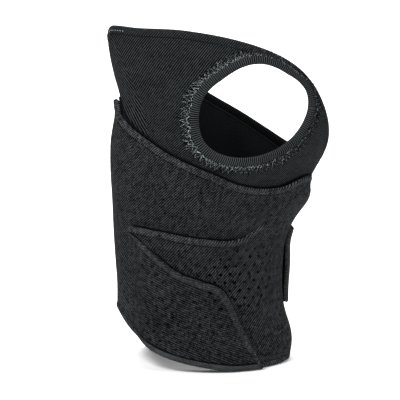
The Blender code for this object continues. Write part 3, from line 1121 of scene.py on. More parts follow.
@dataclass(frozen=True)
class KnitFinish:
    """A dull knit face on foam rubber.

    Attributes:
        name: The finish's name.
        dark: The grey between the ribs.
        light: The grey on top of the ribs.
        period: The spacing of the ribs, in millimetres.
        direction: The angle across the ribs.
        ribbing: How strongly the ribs show.
        heather: How much lighter fibres fleck it.
        relief: How high the ribs stand, in millimetres.
        flip_left: Where the ribs lean the other way, as a place round the form, or None.
        holes: Whether it has small pressed perforations.
    """

    name: str
    dark: float
    light: float
    period: float = 1.15
    direction: float = 35.0
    ribbing: float = 0.8
    heather: float = 0.5
    relief: float = 0.22
    flip_left: float | None = None
    holes: bool = False

    def make(self) -> bpy.types.Material:
        """Builds the material.

        Returns:
            The material.
        """
        tree = Tree(self.name)
        where = tree.cloth()
        wobble = tree.math("MULTIPLY", tree.noise(where, 0.35), 2.4)
        ribs = tree.wave(where, self.direction, self.period, wobble)
        if self.flip_left is not None:
            ribs = self._lean_over(tree, where, ribs, wobble)
        ribs = tree.math("MULTIPLY_ADD", ribs, 0.5, 0.5)
        stitches = tree.wave(where, self.direction + 90, self.period * 0.8, wobble)
        loops = tree.math("MULTIPLY_ADD", tree.math("MULTIPLY", stitches, ribs), 0.25, ribs)
        fleck = tree.noise(where, 0.55, 4.0, 0.9)
        fuzz = tree.noise(where, 1.5, 2.0, 0.7)
        tuft = tree.noise(where, 0.28, 2.0, 0.7)
        patch = tree.noise(where, 0.045, 3.0)
        shade = tree.math("MULTIPLY_ADD", loops, self.ribbing, 0.5 - self.ribbing * 0.5)
        for factor, strength in ((fleck, 2.6), (fuzz, 2.2), (tuft, 1.15)):
            shade = tree.vary(shade, factor, strength * self.heather)
        shade = tree.vary(shade, patch, 0.5)
        if self.holes:
            dimple = self._dimples(tree, where)
            # Painted shade: each pressed hole is darkened in colour, for the shade inside it.
            shade = tree.math("MULTIPLY_ADD", dimple, -1.1, shade)
            tree.bump(tree.math("SUBTRACT", 1.0, dimple), 1.0, 0.7)
        stops = ((0.12, self.dark), (0.42, self.light * 0.16), (0.72, self.light * 0.45), (1.0, self.light))
        tree.colour(shade, [(place, grey(level)) for place, level in stops])
        tree.bump(loops, 0.9, self.relief)
        tree.bump(fuzz, 0.5, 0.12)
        tree.surface(fleck, -0.12, 0.95, Specular_IOR_Level=0.02, Sheen_Weight=0.01)
        return tree.material

    def _lean_over(self, tree: Tree, where: Socket, ribs: Socket, wobble: Socket) -> Socket:
        """Gives wider ribs that lean the other way left of a slanted line.

        Args:
            tree: The material's tree.
            where: The place on the cloth.
            ribs: The ribs right of the line.
            wobble: What shifts the ribs.

        Returns:
            The ribs on both sides.
        """
        other = tree.wave(where, 180 - self.direction, self.period * 1.5, wobble)
        place = tree.parts(where)
        line = tree.math("MULTIPLY_ADD", place["Y"], 0.36, place["X"])
        return tree.mix(tree.between(line, self.flip_left - 0.6, self.flip_left + 0.6), other, ribs)

    @staticmethod
    def _dimples(tree: Tree, where: Socket) -> Socket:
        """Makes small pressed holes in offset rows, fainter in places.

        Args:
            tree: The material's tree.
            where: The place on the cloth.

        Returns:
            1 in the middle of a clear hole and 0 between the holes.
        """
        across, up = 6.2, 10.7
        moved = tree.vector(
            "MULTIPLY_ADD", tree.noise(where, 0.12, output="Color"), (2.4, 2.4, 0.0), where
        )
        nearest = []
        for shift in (0.0, 0.5):
            start = tree.vector("ADD", moved, (across * shift, up * shift, 0.0))
            cell = tree.vector("WRAP", start, (across / 2, up / 2, 0.5), (-across / 2, -up / 2, -0.5))
            cell = tree.vector("MULTIPLY", cell, (0.9, 0.95, 0.0))
            nearest.append(tree.vector("LENGTH", cell, output="Value"))
        spot = tree.between(tree.math("MINIMUM", *nearest), 0.3, 1.25, 1.0, 0.0)
        strength = tree.between(tree.noise(where, 0.04), 0.45, 0.65, 0.06, 0.4)
        for centre, inner, outer, clear in (
            ((24.0, 60.0, 0.0), 14.0, 32.0, 1.0), ((-30.0, 32.0, 0.0), 12.0, 30.0, 0.26),
        ):
            away = tree.vector("DISTANCE", where, centre, output="Value")
            strength = tree.math("MAXIMUM", strength, tree.between(away, inner, outer, clear, 0.0))
        return tree.math("MULTIPLY", spot, strength)


@dataclass(frozen=True)
class SmoothFinish:
    """A smooth dull jersey, as on the lining and on folded tapes.

    Attributes:
        name: The finish's name.
        dark: Its darkest grey.
        light: Its lightest grey.
        grain: How fine its fleck is, per millimetre.
        relief: How rough its surface is, in millimetres.
        ribs: The spacing of ribs across it, in millimetres, or 0 for none.
        sheen: How much it brightens at a slant.
    """

    name: str
    dark: float
    light: float
    grain: float = 1.4
    relief: float = 0.08
    ribs: float = 0.0
    sheen: float = 0.01

    def make(self) -> bpy.types.Material:
        """Builds the material.

        Returns:
            The material.
        """
        tree = Tree(self.name)
        where = tree.cloth()
        fleck = tree.noise(where, self.grain, 3.0, 0.65)
        shade = tree.vary(fleck, tree.noise(where, 0.06), 0.6)
        if self.ribs:
            wave = tree.wave(where, 0.0, self.ribs, tree.math("MULTIPLY", tree.noise(where, 0.5), 1.2))
            shade = tree.math("MULTIPLY_ADD", wave, 0.6, shade)
            tree.bump(wave, 0.8, 0.14)
        tree.colour(shade, [(0.2, grey(self.dark)), (0.8, grey(self.light))])
        tree.bump(fleck, 0.6, self.relief)
        tree.surface(fleck, -0.15, 0.93, Specular_IOR_Level=0.02, Sheen_Weight=self.sheen)
        return tree.material


@dataclass(frozen=True)
class ThreadFinish:
    """Twisted sewing thread, with lighter and darker stretches.

    Attributes:
        name: The finish's name.
        dark: The grey of its darkest stretches.
        light: The grey of its lightest stretches.
    """

    name: str
    dark: float
    light: float

    def make(self) -> bpy.types.Material:
        """Builds the material.

        Returns:
            The material.
        """
        tree = Tree(self.name)
        where = tree.place()
        fleck = tree.noise(where, 1.5, 2.0)
        # Painted shade: the thread's colour darkens towards the right, for light falling from the left.
        painted_shade_rightwards = tree.math("MULTIPLY_ADD", tree.parts(where)["X"], -0.0022, fleck)
        tree.colour(painted_shade_rightwards, [(0.36, grey(self.dark)), (0.66, grey(self.light))])
        tree.bump(tree.noise(where, 5.0, 2.0), 0.5, 0.08)
        tree.surface(fleck, -0.2, 0.8, Specular_IOR_Level=0.03)
        return tree.material


@dataclass(frozen=True)
class HookFinish:
    """Rough hook tape: a black ground full of short bristles.

    Attributes:
        name: The finish's name.
        dark: The ground's grey.
        light: The grey of the bristles' tips.
    """

    name: str
    dark: float = 0.003
    light: float = 0.03

    def make(self) -> bpy.types.Material:
        """Builds the material.

        Returns:
            The material.
        """
        tree = Tree(self.name)
        where = tree.place()
        cells = tree.nodes.new("ShaderNodeTexVoronoi")
        tree.link(where, cells.inputs["Vector"])
        cells.inputs["Scale"].default_value = 0.9
        spots = tree.between(cells.outputs["Distance"], 0.05, 0.55, 1.0, 0.0)
        tree.colour(spots, [(0.1, grey(self.dark)), (0.9, grey(self.light))])
        tree.bump(spots, 1.0, 0.5)
        tree.surface(spots, -0.3, 0.8)
        return tree.material


class Wardrobe:
    """All the finishes, each made once."""

    def __init__(self) -> None:
        """Builds every material."""
        self.sleeve = KnitFinish(
            "sleeve_knit", 0.0, 0.038, period=1.28, direction=-42.0, ribbing=1.45, heather=0.8, relief=0.3,
            flip_left=3.0,
        ).make()
        self.wrap = KnitFinish(
            "wrap_knit", 0.0, 0.044, period=1.35, direction=-38.0, ribbing=0.95, heather=1.15, relief=0.25,
            holes=True,
        ).make()
        # Painted highlight: the wrap's own cloth, turned over the rolled edges, is made lighter where the
        # rolls catch the light.
        self.turned = KnitFinish(
            "turned_knit_painted_highlight", 0.0, 0.072, period=1.35, direction=-38.0, ribbing=0.9, heather=1.1, relief=0.2
        ).make()
        # Painted highlight: the flap's turned edge is made lighter where its roll catches the light.
        self.edge = KnitFinish(
            "flap_edge_knit_painted_highlight", 0.006, 0.086, period=1.2, direction=75.0, ribbing=0.3, heather=0.5, relief=0.12
        ).make()
        self.flap = KnitFinish(
            "flap_knit", 0.0, 0.046, period=1.35, direction=66.0, ribbing=0.5, heather=0.7, relief=0.2,
            holes=True,
        ).make()
        self.lining = SmoothFinish("lining_jersey", 0.007, 0.020, grain=0.8).make()
        self.tape = SmoothFinish("edge_tape", 0.0, 0.014, ribs=1.2).make()
        # Painted highlight: the rolled tapes on the hems and the strap are lighter than the cloth beside
        # them, for the light on the rolls.
        self.roll = SmoothFinish("rolled_edge_painted_highlight", 0.0, 0.066, grain=1.1).make()
        self.rib = SmoothFinish("rib_tape", 0.0, 0.046, ribs=1.25).make()
        self.thread = ThreadFinish("overlock_thread", 0.01, 0.55).make()
        # Dark seam thread for real stitches, also used for the dark tubes that stand in as painted shadow
        # where layers meet.
        self.dark_thread_and_shadow = ThreadFinish("seam_thread_and_painted_shadow", 0.0005, 0.004).make()
        self.hook = HookFinish("hook_tape").make()
        self.loop = SmoothFinish("loop_tape", 0.006, 0.02, grain=2.4, relief=0.3).make()


def dress(piece: bpy.types.Object, *materials: bpy.types.Material) -> None:
    """Gives a piece its materials.

    Args:
        piece: The piece.
        materials: The outside's material, then the inside's if that differs.
    """
    piece.data.materials.clear()
    for material in materials:
        piece.data.materials.append(material)


# ---------------------------------------------------------------- sub-assemblies


def lowered(edge: Edge, drop: float) -> Edge:
    """The edge that runs that much below another."""
    return lambda angle: edge(angle) - drop


def evenly(start: float, end: float, spacing: float) -> np.ndarray:
    """Angles from start to end, about spacing degrees apart."""
    return np.linspace(start, end, max(int(round((end - start) / spacing)), 2) + 1)


@dataclass
class Sleeve:
    """The inner sleeve: two panels, its rims and its side seams.

    Attributes:
        finishes: The materials.
        spacing: The angle between columns, in degrees.
        rim_width: How wide the turned rim is.
        cut_back: How far the front panel is cut back from the opening's rim, under the binding.
    """

    finishes: Wardrobe
    spacing: float = 3.0
    rim_width: float = 4.6
    cut_back: float = 2.4

    def build(self) -> None:
        """Builds all the sleeve's pieces."""
        self._panels()
        self._rims()
        self._seams()

    @staticmethod
    def hem(angle: np.ndarray) -> np.ndarray:
        """The sleeve's lower edge, just above the wrap's."""
        turned = np.where(np.asarray(angle) < 100, np.asarray(angle) + 360, angle)
        return Edges.hem(turned) + 0.8

    def _cut_opening(
        self, angle: np.ndarray, height: np.ndarray
    ) -> tuple[np.ndarray, np.ndarray, np.ndarray]:
        """Pulls the columns inside the opening out to its cut.

        Args:
            angle: The angle of each vertex.
            height: The height of each vertex.

        Returns:
            The new angles, the new heights and which vertices were inside.
        """
        across = FORM.place(angle, height, LAYERS.sleeve)[..., 0] - FORM.opening_centre[0]
        up = height - FORM.opening_centre[1]
        turn = np.arctan2(up, across) % (2 * np.pi)
        limit = FORM.reach(turn) + self.cut_back * FORM.narrowing(turn)
        gone = np.hypot(across, up) < limit
        new_height = np.where(gone, FORM.opening_centre[1] + limit * np.sin(turn), height)
        moved = FORM.angle_at(FORM.opening_centre[0] + limit * np.cos(turn), new_height)
        return np.where(gone, moved, angle), new_height, gone

    def _middle(self, angle: np.ndarray, height: np.ndarray) -> np.ndarray:
        """How far out the middle of the sleeve lies."""
        return np.full(np.shape(angle), LAYERS.sleeve / 2)

    def _panels(self) -> None:
        """The front panel with the elbow opening, and the back panel."""
        specs = (
            ("front", LEFT + 0.3, RIGHT - 0.3, Edges.front_rim, 64, self._cut_opening),
            ("back", 0.3, LEFT - 0.3, Edges.back_rim, 50, None),
        )
        for side, start, end, rim, rows, cut in specs:
            piece = Panel(
                f"{side}_panel", evenly(start, end, self.spacing), self.hem, lowered(rim, 1.6), self._middle,
                LAYERS.sleeve, rows,
            ).build(cut)
            dress(piece, self.finishes.sleeve, self.finishes.lining)
            settle(piece, Body.SLEEVE, "sleeve_knit", f"sleeve_{side}_panel", f"sleeve_{side}_hem_tape")

    def _rims(self) -> None:
        """The turned rims along the slanted mouth, with their stitch rows."""
        profile = tape_profile(self.rim_width, LAYERS.sleeve, 0.45)
        front = path_on(Edges.front_rim, 180.0, 359.9, 2.0)
        room = 1 - 0.42 * ramp(front.angle, 285, 305) * (1 - ramp(front.angle, 332, 348))
        rim = band("front_rim", front, profile, LAYERS.sleeve / 2, width=room, same_cloth=True)
        dress(rim, self.finishes.sleeve)
        settle(rim, Body.SLEEVE, "edge_tape", "front_rim_tape")
        back = path_on(Edges.back_rim, 0.1, 180.0, 2.0)
        rim = band("back_rim", back, profile, LAYERS.sleeve / 2)
        dress(rim, self.finishes.tape)
        settle(rim, Body.SLEEVE, "edge_tape", "back_rim_tape")
        angle, height = back.beside(-self.rim_width - 0.6)
        piping = thread("back_rim_piping", FORM.place(angle, height, 0.0), 1.0)
        dress(piping, self.finishes.tape)
        settle(piping, Body.SLEEVE, "stitching")
        # Painted shadow: a dark tube along the foot of the turned rim, for the shade in the groove there.
        groove = path_on(Edges.front_rim, 183.0, 268.0, 2.0)
        angle, height = groove.beside(-self.rim_width - 0.1)
        cord = thread("front_rim_groove_shadow", FORM.place(angle, height, LAYERS.sleeve - 0.1), 0.8)
        dress(cord, self.finishes.dark_thread_and_shadow)
        settle(cord, Body.SLEEVE, "stitching")
        rows = path_on(Edges.front_rim, 186.0, 212.0, 1.5)
        stitches = running_stitches("collar_stitches", rows, -2.6, LAYERS.sleeve + 0.35, 1.2, 0.4)
        dress(stitches, self.finishes.thread)
        settle(stitches, Body.SLEEVE, "stitching")
        rows = path_on(Edges.front_rim, 268.0, 292.0, 1.5)
        stitches = running_stitches("front_rim_stitches", rows, -self.rim_width - 0.3, LAYERS.sleeve - 0.05)
        dress(stitches, self.finishes.dark_thread_and_shadow)
        settle(stitches, Body.SLEEVE, "stitching")

    def _seams(self) -> None:
        """The flat seams down the two sides, joining the front panel to the back one."""
        for name, middle, top in (("left_side_seam", LEFT, 209.6), ("right_side_seam", RIGHT, 131.2)):
            path = upright(middle, float(self.hem(np.array(middle))), top)
            half = LAYERS.sleeve / 2
            profile = [
                (-1.4, half * 0.7), (-0.8, half + 0.12), (0.0, half + 0.2), (0.8, half + 0.12),
                (1.4, half * 0.7), (1.2, -half), (0.0, -half - 0.2), (-1.2, -half),
            ]
            seam = band(name + "_cord", path, profile, half)
            dress(seam, self.finishes.tape)
            settle(seam, Body.SLEEVE, "edge_tape", name)


@dataclass
class ElbowOpening:
    """The ribbed binding round the elbow opening and the stitching that holds it.

    Attributes:
        finishes: The materials.
        width: How wide the binding is.
        rib: The spacing of its ribs.
    """

    finishes: Wardrobe
    width: float = 5.2
    rib: float = 1.25

    def build(self) -> None:
        """Builds the binding and its threads."""
        turn = np.linspace(0, 2 * np.pi, 480, endpoint=False)
        angle, height = FORM.opening(turn, 0.0)
        path = Path(angle, height, self.rib / 5, closed=True)
        centre = np.arctan2(
            path.height - FORM.opening_centre[1],
            FORM.place(path.angle, path.height, LAYERS.sleeve)[..., 0] - FORM.opening_centre[0],
        )
        room = FORM.narrowing(centre)
        ribs = 0.16 * np.sin(2 * np.pi * path.run / path.length * round(path.length / self.rib))
        half = LAYERS.sleeve / 2
        w = self.width
        profile = [
            (w, half + 0.05), (w * 0.9, half + 0.55), (w * 0.62, half + 0.95), (w * 0.3, half + 0.8),
            (w * 0.06, half * 0.7), (-0.35, 0.0), (w * 0.06, -half * 0.7), (w * 0.3, -half - 0.4),
            (w * 0.65, -half - 0.45), (w * 0.92, -half - 0.3), (w, -half),
        ]
        ring = band("opening_binding", path, profile, half, Side.BELOW, room, ribs)
        dress(ring, self.finishes.rib)
        settle(ring, Body.SLEEVE, "rib_tape", "elbow_opening_binding")
        self._threads()

    def _threads(self) -> None:
        """Cover stitching: zigzags over each other, and darker small stitches between them."""
        source = np.random.default_rng(5)
        rows = (
            (72, 1.0, 4.6, 0.34, self.finishes.thread), (118, 0.2, 1.6, 0.4, self.finishes.thread),
            (90, 0.8, 4.8, 0.8, self.finishes.dark_thread_and_shadow), (97, 0.6, 4.0, 0.3, self.finishes.thread),
        )
        for row, (count, low, high, size, material) in enumerate(rows):
            steps = np.arange(count * 2)
            turn = (steps + 0.7 * row) / len(steps) * 2 * np.pi + source.normal(0, 0.009, len(steps))
            around = np.degrees(turn) % 360
            near = 0.45 * (bump(around, 30, 42) + bump(around, 390, 42))
            room = 1 - near + 0.35 * bump(around, 190, 45)
            away = (np.where(steps % 2, high, low) + source.normal(0, 0.35 + 0.12 * row, len(steps))) * room
            angle, height = FORM.opening(turn, self.width + away)
            out = LAYERS.sleeve + 0.1 + 0.08 * row + source.uniform(-0.2, 0.15, len(steps))
            piece = thread(f"opening_stitches_{row + 1}", FORM.place(angle, height, out), size, True)
            dress(piece, material)
            settle(piece, Body.SLEEVE, "stitching", *(("elbow_opening_stitching",) if row == 0 else ()))


@dataclass
class Wrap:
    """The two wrap panels that stay on the sleeve, with their edges.

    Attributes:
        finishes: The materials.
        back_left: The angle of the left back edge.
        back_right: The angle of the right back edge.
        tongue_start: The angle of the lower panel's tongue.
        roll: How wide the rolled edges are.
        inset: How far inside its edges the panel's own cloth ends.
    """

    finishes: Wardrobe
    back_left: float = 107.0
    back_right: float = 430.0
    tongue_start: float = 216.0
    roll: float = 3.4
    inset: float = 1.4

    @staticmethod
    def flare(angle: np.ndarray, height: np.ndarray) -> np.ndarray:
        """Finds how far the wrap stands off the sleeve near its top edge.

        Args:
            angle: Angles round the form.
            height: Heights.

        Returns:
            The distance at each place.
        """
        below = height - Edges.wrap_top(angle)
        left = -0.9 * bump(angle, 178, 18)
        right = 0.5 * bump(angle, 318, 16) - 0.7 * bump(angle, 352, 24)
        lobe = 1.3 * bump(angle, 181, 15) * ramp(below, -13, -3)
        tuck = 1.5 * bump(angle, 352, 18) * ramp(below, -6, 0)
        hip = 1.3 * bump(angle, 357, 22) * bump(below, -11, 7)
        return ramp(below, -34, 0) * (0.3 + left + right) + lobe - tuck + hip

    @classmethod
    def middle(cls, angle: np.ndarray, height: np.ndarray) -> np.ndarray:
        """Finds how far out the middle of the upper panel lies.

        Args:
            angle: Angles round the form.
            height: Heights.

        Returns:
            The distance at each place.
        """
        slack = 1.7 * bump(angle, 181, 22) * (1 - ramp(height - Edges.wrap_top(angle), -30, 0))
        waist = bump(angle, 360, 28) * (2.0 * bump(height, 20, 16) - 1.5 * bump(height, 66, 24))
        return LAYERS.wrap_in + LAYERS.wrap / 2 + cls.flare(angle, height) + slack + waist

    @classmethod
    def lower_middle(cls, angle: np.ndarray, height: np.ndarray) -> np.ndarray:
        """Finds how far out the middle of the lower panel lies: raised where it passes over the upper one.

        Args:
            angle: Angles round the form.
            height: Heights.

        Returns:
            The distance at each place.
        """
        clear = ramp(Edges.lower_top(angle) - height, 7, 17)
        fade = 1 - 0.86 * ramp(angle, 288, 318)
        return cls.middle(angle, height) + (LAYERS.over + 0.25) * fade * (1 - clear)

    def build(self) -> None:
        """Builds the wrap's pieces."""
        self._upper()
        self._lower()
        self._edges()

    @staticmethod
    def _slit(angle: np.ndarray) -> np.ndarray:
        """Finds the line below which the upper panel ends at the flap's hinge line.

        Args:
            angle: Angles round the form.

        Returns:
            The line's height at each angle.
        """
        angle = np.maximum(angle, HINGE)
        over_flap = Edges.flap(np.maximum(angle, Edges.flap_start)) + 0.3
        return np.maximum(Edges.lower_top(angle) - 6.0 * ramp(angle, 213, 222) - 3.4, over_flap)

    def _upper(self) -> None:
        """The upper panel, which reaches down to the hem left of the front flap."""
        angles = np.concatenate((
            evenly(self.back_left + 1, HINGE - 0.6, 2.6), [HINGE],
            evenly(HINGE + 0.8, self.back_right - 1, 2.6),
        ))
        upper = Panel(
            "upper_wrap", angles, lowered(Edges.hem, -self.inset), lowered(Edges.wrap_top, self.inset),
            self.middle, LAYERS.wrap, 32, HINGE, self._slit, 26,
        ).build()
        dress(upper, self.finishes.wrap, self.finishes.lining)
        settle(upper, Body.SLEEVE, "wrap_knit", "wrap_upper_panel")

    def _bottom(self, angle: np.ndarray) -> np.ndarray:
        """Finds the lower edge of the lower panel: a little under the flap's edge, then at the hem.

        Args:
            angle: Angles round the form.

        Returns:
            The edge's height at each angle.
        """
        hem = Edges.hem(angle) + self.inset
        under = 10 * ramp(angle, 224, 250) + 50 * ramp(angle, 268, 286)
        return np.where(angle < 312, np.maximum(hem, Edges.flap(angle) + 0.3 - under), hem)

    def _lower(self) -> None:
        """The lower panel, with its tongue between the upper panel and the front flap."""
        lower = Panel(
            "lower_wrap", evenly(self.tongue_start + 1.0, self.back_right - 1, 2.6), self._bottom,
            lowered(Edges.lower_top, 1.6), self.lower_middle, LAYERS.wrap, 40,
        ).build()
        dress(lower, self.finishes.wrap, self.finishes.lining)
        settle(lower, Body.SLEEVE, "wrap_knit", "wrap_lower_panel")

    def _edges(self) -> None:
        """The rolled edges and their stitch rows."""
        roll = tape_profile(self.roll, LAYERS.wrap, 0.7)
        thin = tape_profile(3.4, LAYERS.wrap, 0.4)
        start, end = self.back_left + 1, self.back_right - 1
        specs = (
            ("wrap_top_roll", Edges.wrap_top, start, end, roll, self.middle, Side.BELOW, "wrap_top_tape"),
            ("tongue_roll", Edges.lower_top, self.tongue_start, 333.0, roll, self.lower_middle, Side.BELOW,
             "lower_panel_tape"),
            ("left_hem", Edges.hem, start, 212.2, thin, self.middle, Side.ABOVE, "wrap_left_hem_tape"),
            ("right_hem", Edges.hem, 286.0, end, thin, self.middle, Side.ABOVE, "wrap_right_hem_tape"),
        )
        for name, edge, low, high, profile, middle, side, node in specs:
            path = path_on(edge, low, high, 2.2)
            sink = 0.6 - 1.9 * ramp(path.angle, 290, 310) if name == "tongue_roll" else 0.0
            piece = band(name, path, profile, middle, side, swell=sink, same_cloth=side is Side.BELOW)
            dress(piece, self.finishes.turned)
            settle(piece, Body.SLEEVE, "edge_tape", node)
        for name, angle in (("back_left_edge", self.back_left), ("back_right_edge", self.back_right)):
            path = upright(angle, 0.5, float(Edges.wrap_top(angle)) - 0.5)
            piece = band(name, path, thin, self.middle, Side.BELOW if angle < LEFT else Side.ABOVE)
            dress(piece, self.finishes.roll)
            settle(piece, Body.SLEEVE, "edge_tape", name + "_tape")
        self._threads(start, end)

    def _threads(self, start: float, end: float) -> None:
        """Dark tubes that stand in as painted shadow in the steps between the layers, and the rows of
        stitches.

        Args:
            start: The angle where the wrap's cloth starts.
            end: The angle where it ends.
        """

        def outside(middle: Field, more: float = 0.0) -> Field:
            """The outer face of the cloth with that middle, or that much farther out."""
            return lambda a, h: middle(a, h) + LAYERS.wrap / 2 + more

        tongue = self.tongue_start + 1
        # Painted shadow: dark tubes along the wrap's top, the tongue's edge and the flap's edge, where one
        # layer steps over another.
        shadow_cords = (
            ("wrap_top_shadow_cord", Edges.wrap_top, start + 1, end - 1, LAYERS.sleeve + 0.3, 1.7),
            ("tongue_shadow_cord", Edges.lower_top, tongue, 291.0, outside(self.middle, 0.2), 1.0),
            ("flap_shadow_cord", Edges.flap, 214.5, 308.0, outside(self.lower_middle, -0.1), 1.0),
        )
        for name, edge, low, high, level, thickness in shadow_cords:
            path = path_on(edge, low, high, 2.0)
            cord = thread(name, FORM.place(*path.beside(0.7), path.level(level)), thickness)
            dress(cord, self.finishes.dark_thread_and_shadow)
            settle(cord, Body.SLEEVE, "stitching")
        for name, edge, low, high, middle in (
            ("wrap_top_stitches", Edges.wrap_top, start + 2, end - 2, self.middle),
            ("tongue_stitches", Edges.lower_top, 221.0, 296.0, self.lower_middle),
        ):
            row = path_on(edge, low, high, 1.5)
            stitches = running_stitches(name, row, -self.roll - 0.6, outside(middle))
            dress(stitches, self.finishes.dark_thread_and_shadow)
            settle(stitches, Body.SLEEVE, "stitching")


@dataclass
class FrontFlap:
    """The flap that closes over the lower panel and opens to the left.

    Attributes:
        finishes: The materials.
        clear: How far its hem stays above the plane the support stands on.
        bend: How far from its hinge line its cloth bends, in degrees.
        bend_height: The middle height of its hinge line.
    """

    finishes: Wardrobe
    clear: float = 0.5
    bend: float = 5.0
    bend_height: float = 54.0

    def _edge(self, angle: np.ndarray) -> np.ndarray:
        """The flap's free edge."""
        return Edges.flap(np.maximum(angle, Edges.flap_start))

    def _hem(self, angle: np.ndarray) -> np.ndarray:
        """The flap's hem."""
        return Edges.hem(angle) + self.clear * ramp(angle, HINGE, HINGE + 8)

    def _middle(self, angle: np.ndarray, height: np.ndarray) -> np.ndarray:
        """How far out the flap's middle lies: level with the wrap at its hinge, then over the tongue."""
        rise = (LAYERS.over + 1.0) * ramp(angle, HINGE + 0.5, HINGE + 19)
        return Wrap.middle(angle, height) + rise

    def _hang(self, piece: bpy.types.Object, slot: str, *nodes: str) -> None:
        """Passes a piece to hang, with two places beside the flap's hinge line.

        Args:
            piece: The piece.
            slot: The record's material slot.
            nodes: The CAD nodes it replaces, if any.
        """
        level = np.array(self.bend_height)
        bend = [FORM.place(np.array(a), level, LAYERS.wrap_out) for a in (HINGE, HINGE + self.bend)]
        hang(piece, Body.FLAP, bend, slot, *nodes)

    def build(self) -> None:
        """Builds the flap, its edge, its hem and its hook patch."""
        angles = evenly(HINGE, 309.6, 2.2)
        flap = Panel(
            "flap_cloth", angles, lowered(self._hem, -1.4),
            lambda a: np.maximum(self._edge(a) - 1.4, self._hem(a) + 1.6), self._middle, LAYERS.wrap, 30,
            HINGE,
        ).build()
        dress(flap, self.finishes.flap, self.finishes.lining)
        self._hang(flap, "wrap_knit", "front_flap")
        edge = path_on(self._edge, HINGE + 0.2, 311.6, 2.0)
        narrow = (1 - 0.4 * (1 - ramp(edge.angle, 225, 285))) * (1 - 0.55 * ramp(edge.angle, 302, 310))
        profile = tape_profile(4.0, LAYERS.wrap, 0.9)
        piece = band("flap_edge", edge, profile, self._middle, width=narrow, same_cloth=True)
        dress(piece, self.finishes.edge)
        self._hang(piece, "edge_tape", "flap_edge_tape")
        hem = path_on(self._hem, HINGE, 310.4, 2.0)
        piece = band("flap_hem", hem, tape_profile(3.4, LAYERS.wrap, 0.4), self._middle, Side.ABOVE)
        dress(piece, self.finishes.roll)
        self._hang(piece, "edge_tape", "flap_hem_tape")
        # Painted shadow: a dark tube just above the hem band, for the shade line there.
        angle, height = hem.beside(4.0)
        cord = thread("flap_hem_shadow_cord", FORM.place(angle, height, self._middle(angle, height) + 1.1), 1.0)
        dress(cord, self.finishes.dark_thread_and_shadow)
        self._hang(cord, "stitching")
        patch = Panel(
            "hook_patch", evenly(258.0, 278.0, 2.5), lowered(self._edge, 9.0),
            lowered(self._edge, 3.0), lambda a, h: self._middle(a, h) - LAYERS.wrap / 2 - 0.3, 0.6, 4,
        ).build()
        dress(patch, self.finishes.hook)
        settle(patch, Body.FLAP, "hook_tape", "flap_hook_patch")


@dataclass
class ClosingStrap:
    """The strap across the back, from its sewn base on the left to its hook end on the right.

    Attributes:
        finishes: The materials.
        bottom: Its lower edge.
        top: Its upper edge.
        hinge: The angle where it bends open.
        base_end: The angle where it is sewn down.
        tip: The angle of its hook end.
        thickness: How thick its cloth is.
        out: How far out its middle lies.
    """

    finishes: Wardrobe
    bottom: float = 36.0
    top: float = 85.0
    hinge: float = 118.0
    base_end: float = 146.0
    tip: float = -3.4
    thickness: float = 1.9
    out: float = 8.2

    def _level(self, height: float) -> Edge:
        """An edge at one height all the way round."""
        return lambda angle: np.full(np.shape(angle), height)

    def _middle(self, angle: np.ndarray, height: np.ndarray) -> np.ndarray:
        """How far out the strap's middle lies, sinking onto the wrap where it is sewn down."""
        return self.out + 1.0 * bump(angle, 70, 32) - 1.4 * ramp(angle, 134, 146) - self._hug(angle, height)

    @staticmethod
    def _hug(angle: np.ndarray, height: np.ndarray) -> np.ndarray:
        """How far the strap and the patches under it follow the wrap in at its waist."""
        return 1.2 * bump(angle, 0, 26) * ramp(height, 56, 82)

    def _layer(self, name: str, start: float, end: float, out: float, thickness: float) -> bpy.types.Object:
        """Makes a flat patch of the strap's height.

        Args:
            name: The piece's name.
            start: The angle where it starts.
            end: The angle where it ends.
            out: How far out its middle lies.
            thickness: How thick it is.

        Returns:
            The patch.
        """
        return Panel(
            name, evenly(start, end, 2.4), self._level(self.bottom + 0.6), self._level(self.top - 0.6),
            lambda a, h: out - self._hug(a, h), thickness, 22,
        ).build()

    def build(self) -> None:
        """Builds the strap, its edges, its hook end and the two patches under it."""
        span = evenly(self.tip + 5.0, self.base_end, 2.6)
        strap = Panel(
            "strap_cloth", span, self._level(self.bottom + 1.2), self._level(self.top - 1.2), self._middle,
            self.thickness, 24,
        ).build()
        dress(strap, self.finishes.tape, self.finishes.lining)
        self._hang(strap, "wrap_knit", "closing_strap", "closing_strap_base")
        edges = (("strap_top", self.top, Side.BELOW), ("strap_bottom", self.bottom, Side.ABOVE))
        for name, height, side in edges:
            path = path_on(self._level(height), self.tip + 5.2, self.base_end - 0.3, 2.5)
            edge = band(name + "_edge", path, tape_profile(3.2, self.thickness, 0.3), self._middle, side)
            dress(edge, self.finishes.roll)
            self._hang(edge, "edge_tape")
        end = self._layer("strap_end", self.tip, self.tip + 5.4, 7.6, 3.6)
        dress(end, self.finishes.hook)
        settle(end, Body.STRAP, "hook_tape", "strap_end_tape")
        hook = self._layer("strap_hooks", self.tip + 5.6, 52.0, 7.1, 0.8)
        dress(hook, self.finishes.hook)
        settle(hook, Body.STRAP, "hook_tape", "strap_hook_patch")
        loop = self._layer("loop_tape", -3.0, 61.0, 6.25, 0.7)
        dress(loop, self.finishes.loop)
        settle(loop, Body.SLEEVE, "loop_tape", "loop_patch")

    def _hang(self, piece: bpy.types.Object, slot: str, *nodes: str) -> None:
        """Passes a piece to hang, with two places beside the strap's hinge line.

        Args:
            piece: The piece.
            slot: The record's material slot.
            nodes: The CAD nodes it replaces, if any.
        """
        level = np.array((self.bottom + self.top) / 2)
        bend = [FORM.place(np.array(a), level, self.out) for a in (self.hinge + 3.0, self.hinge - 6.0)]
        hang(piece, Body.STRAP, bend, slot, *nodes)


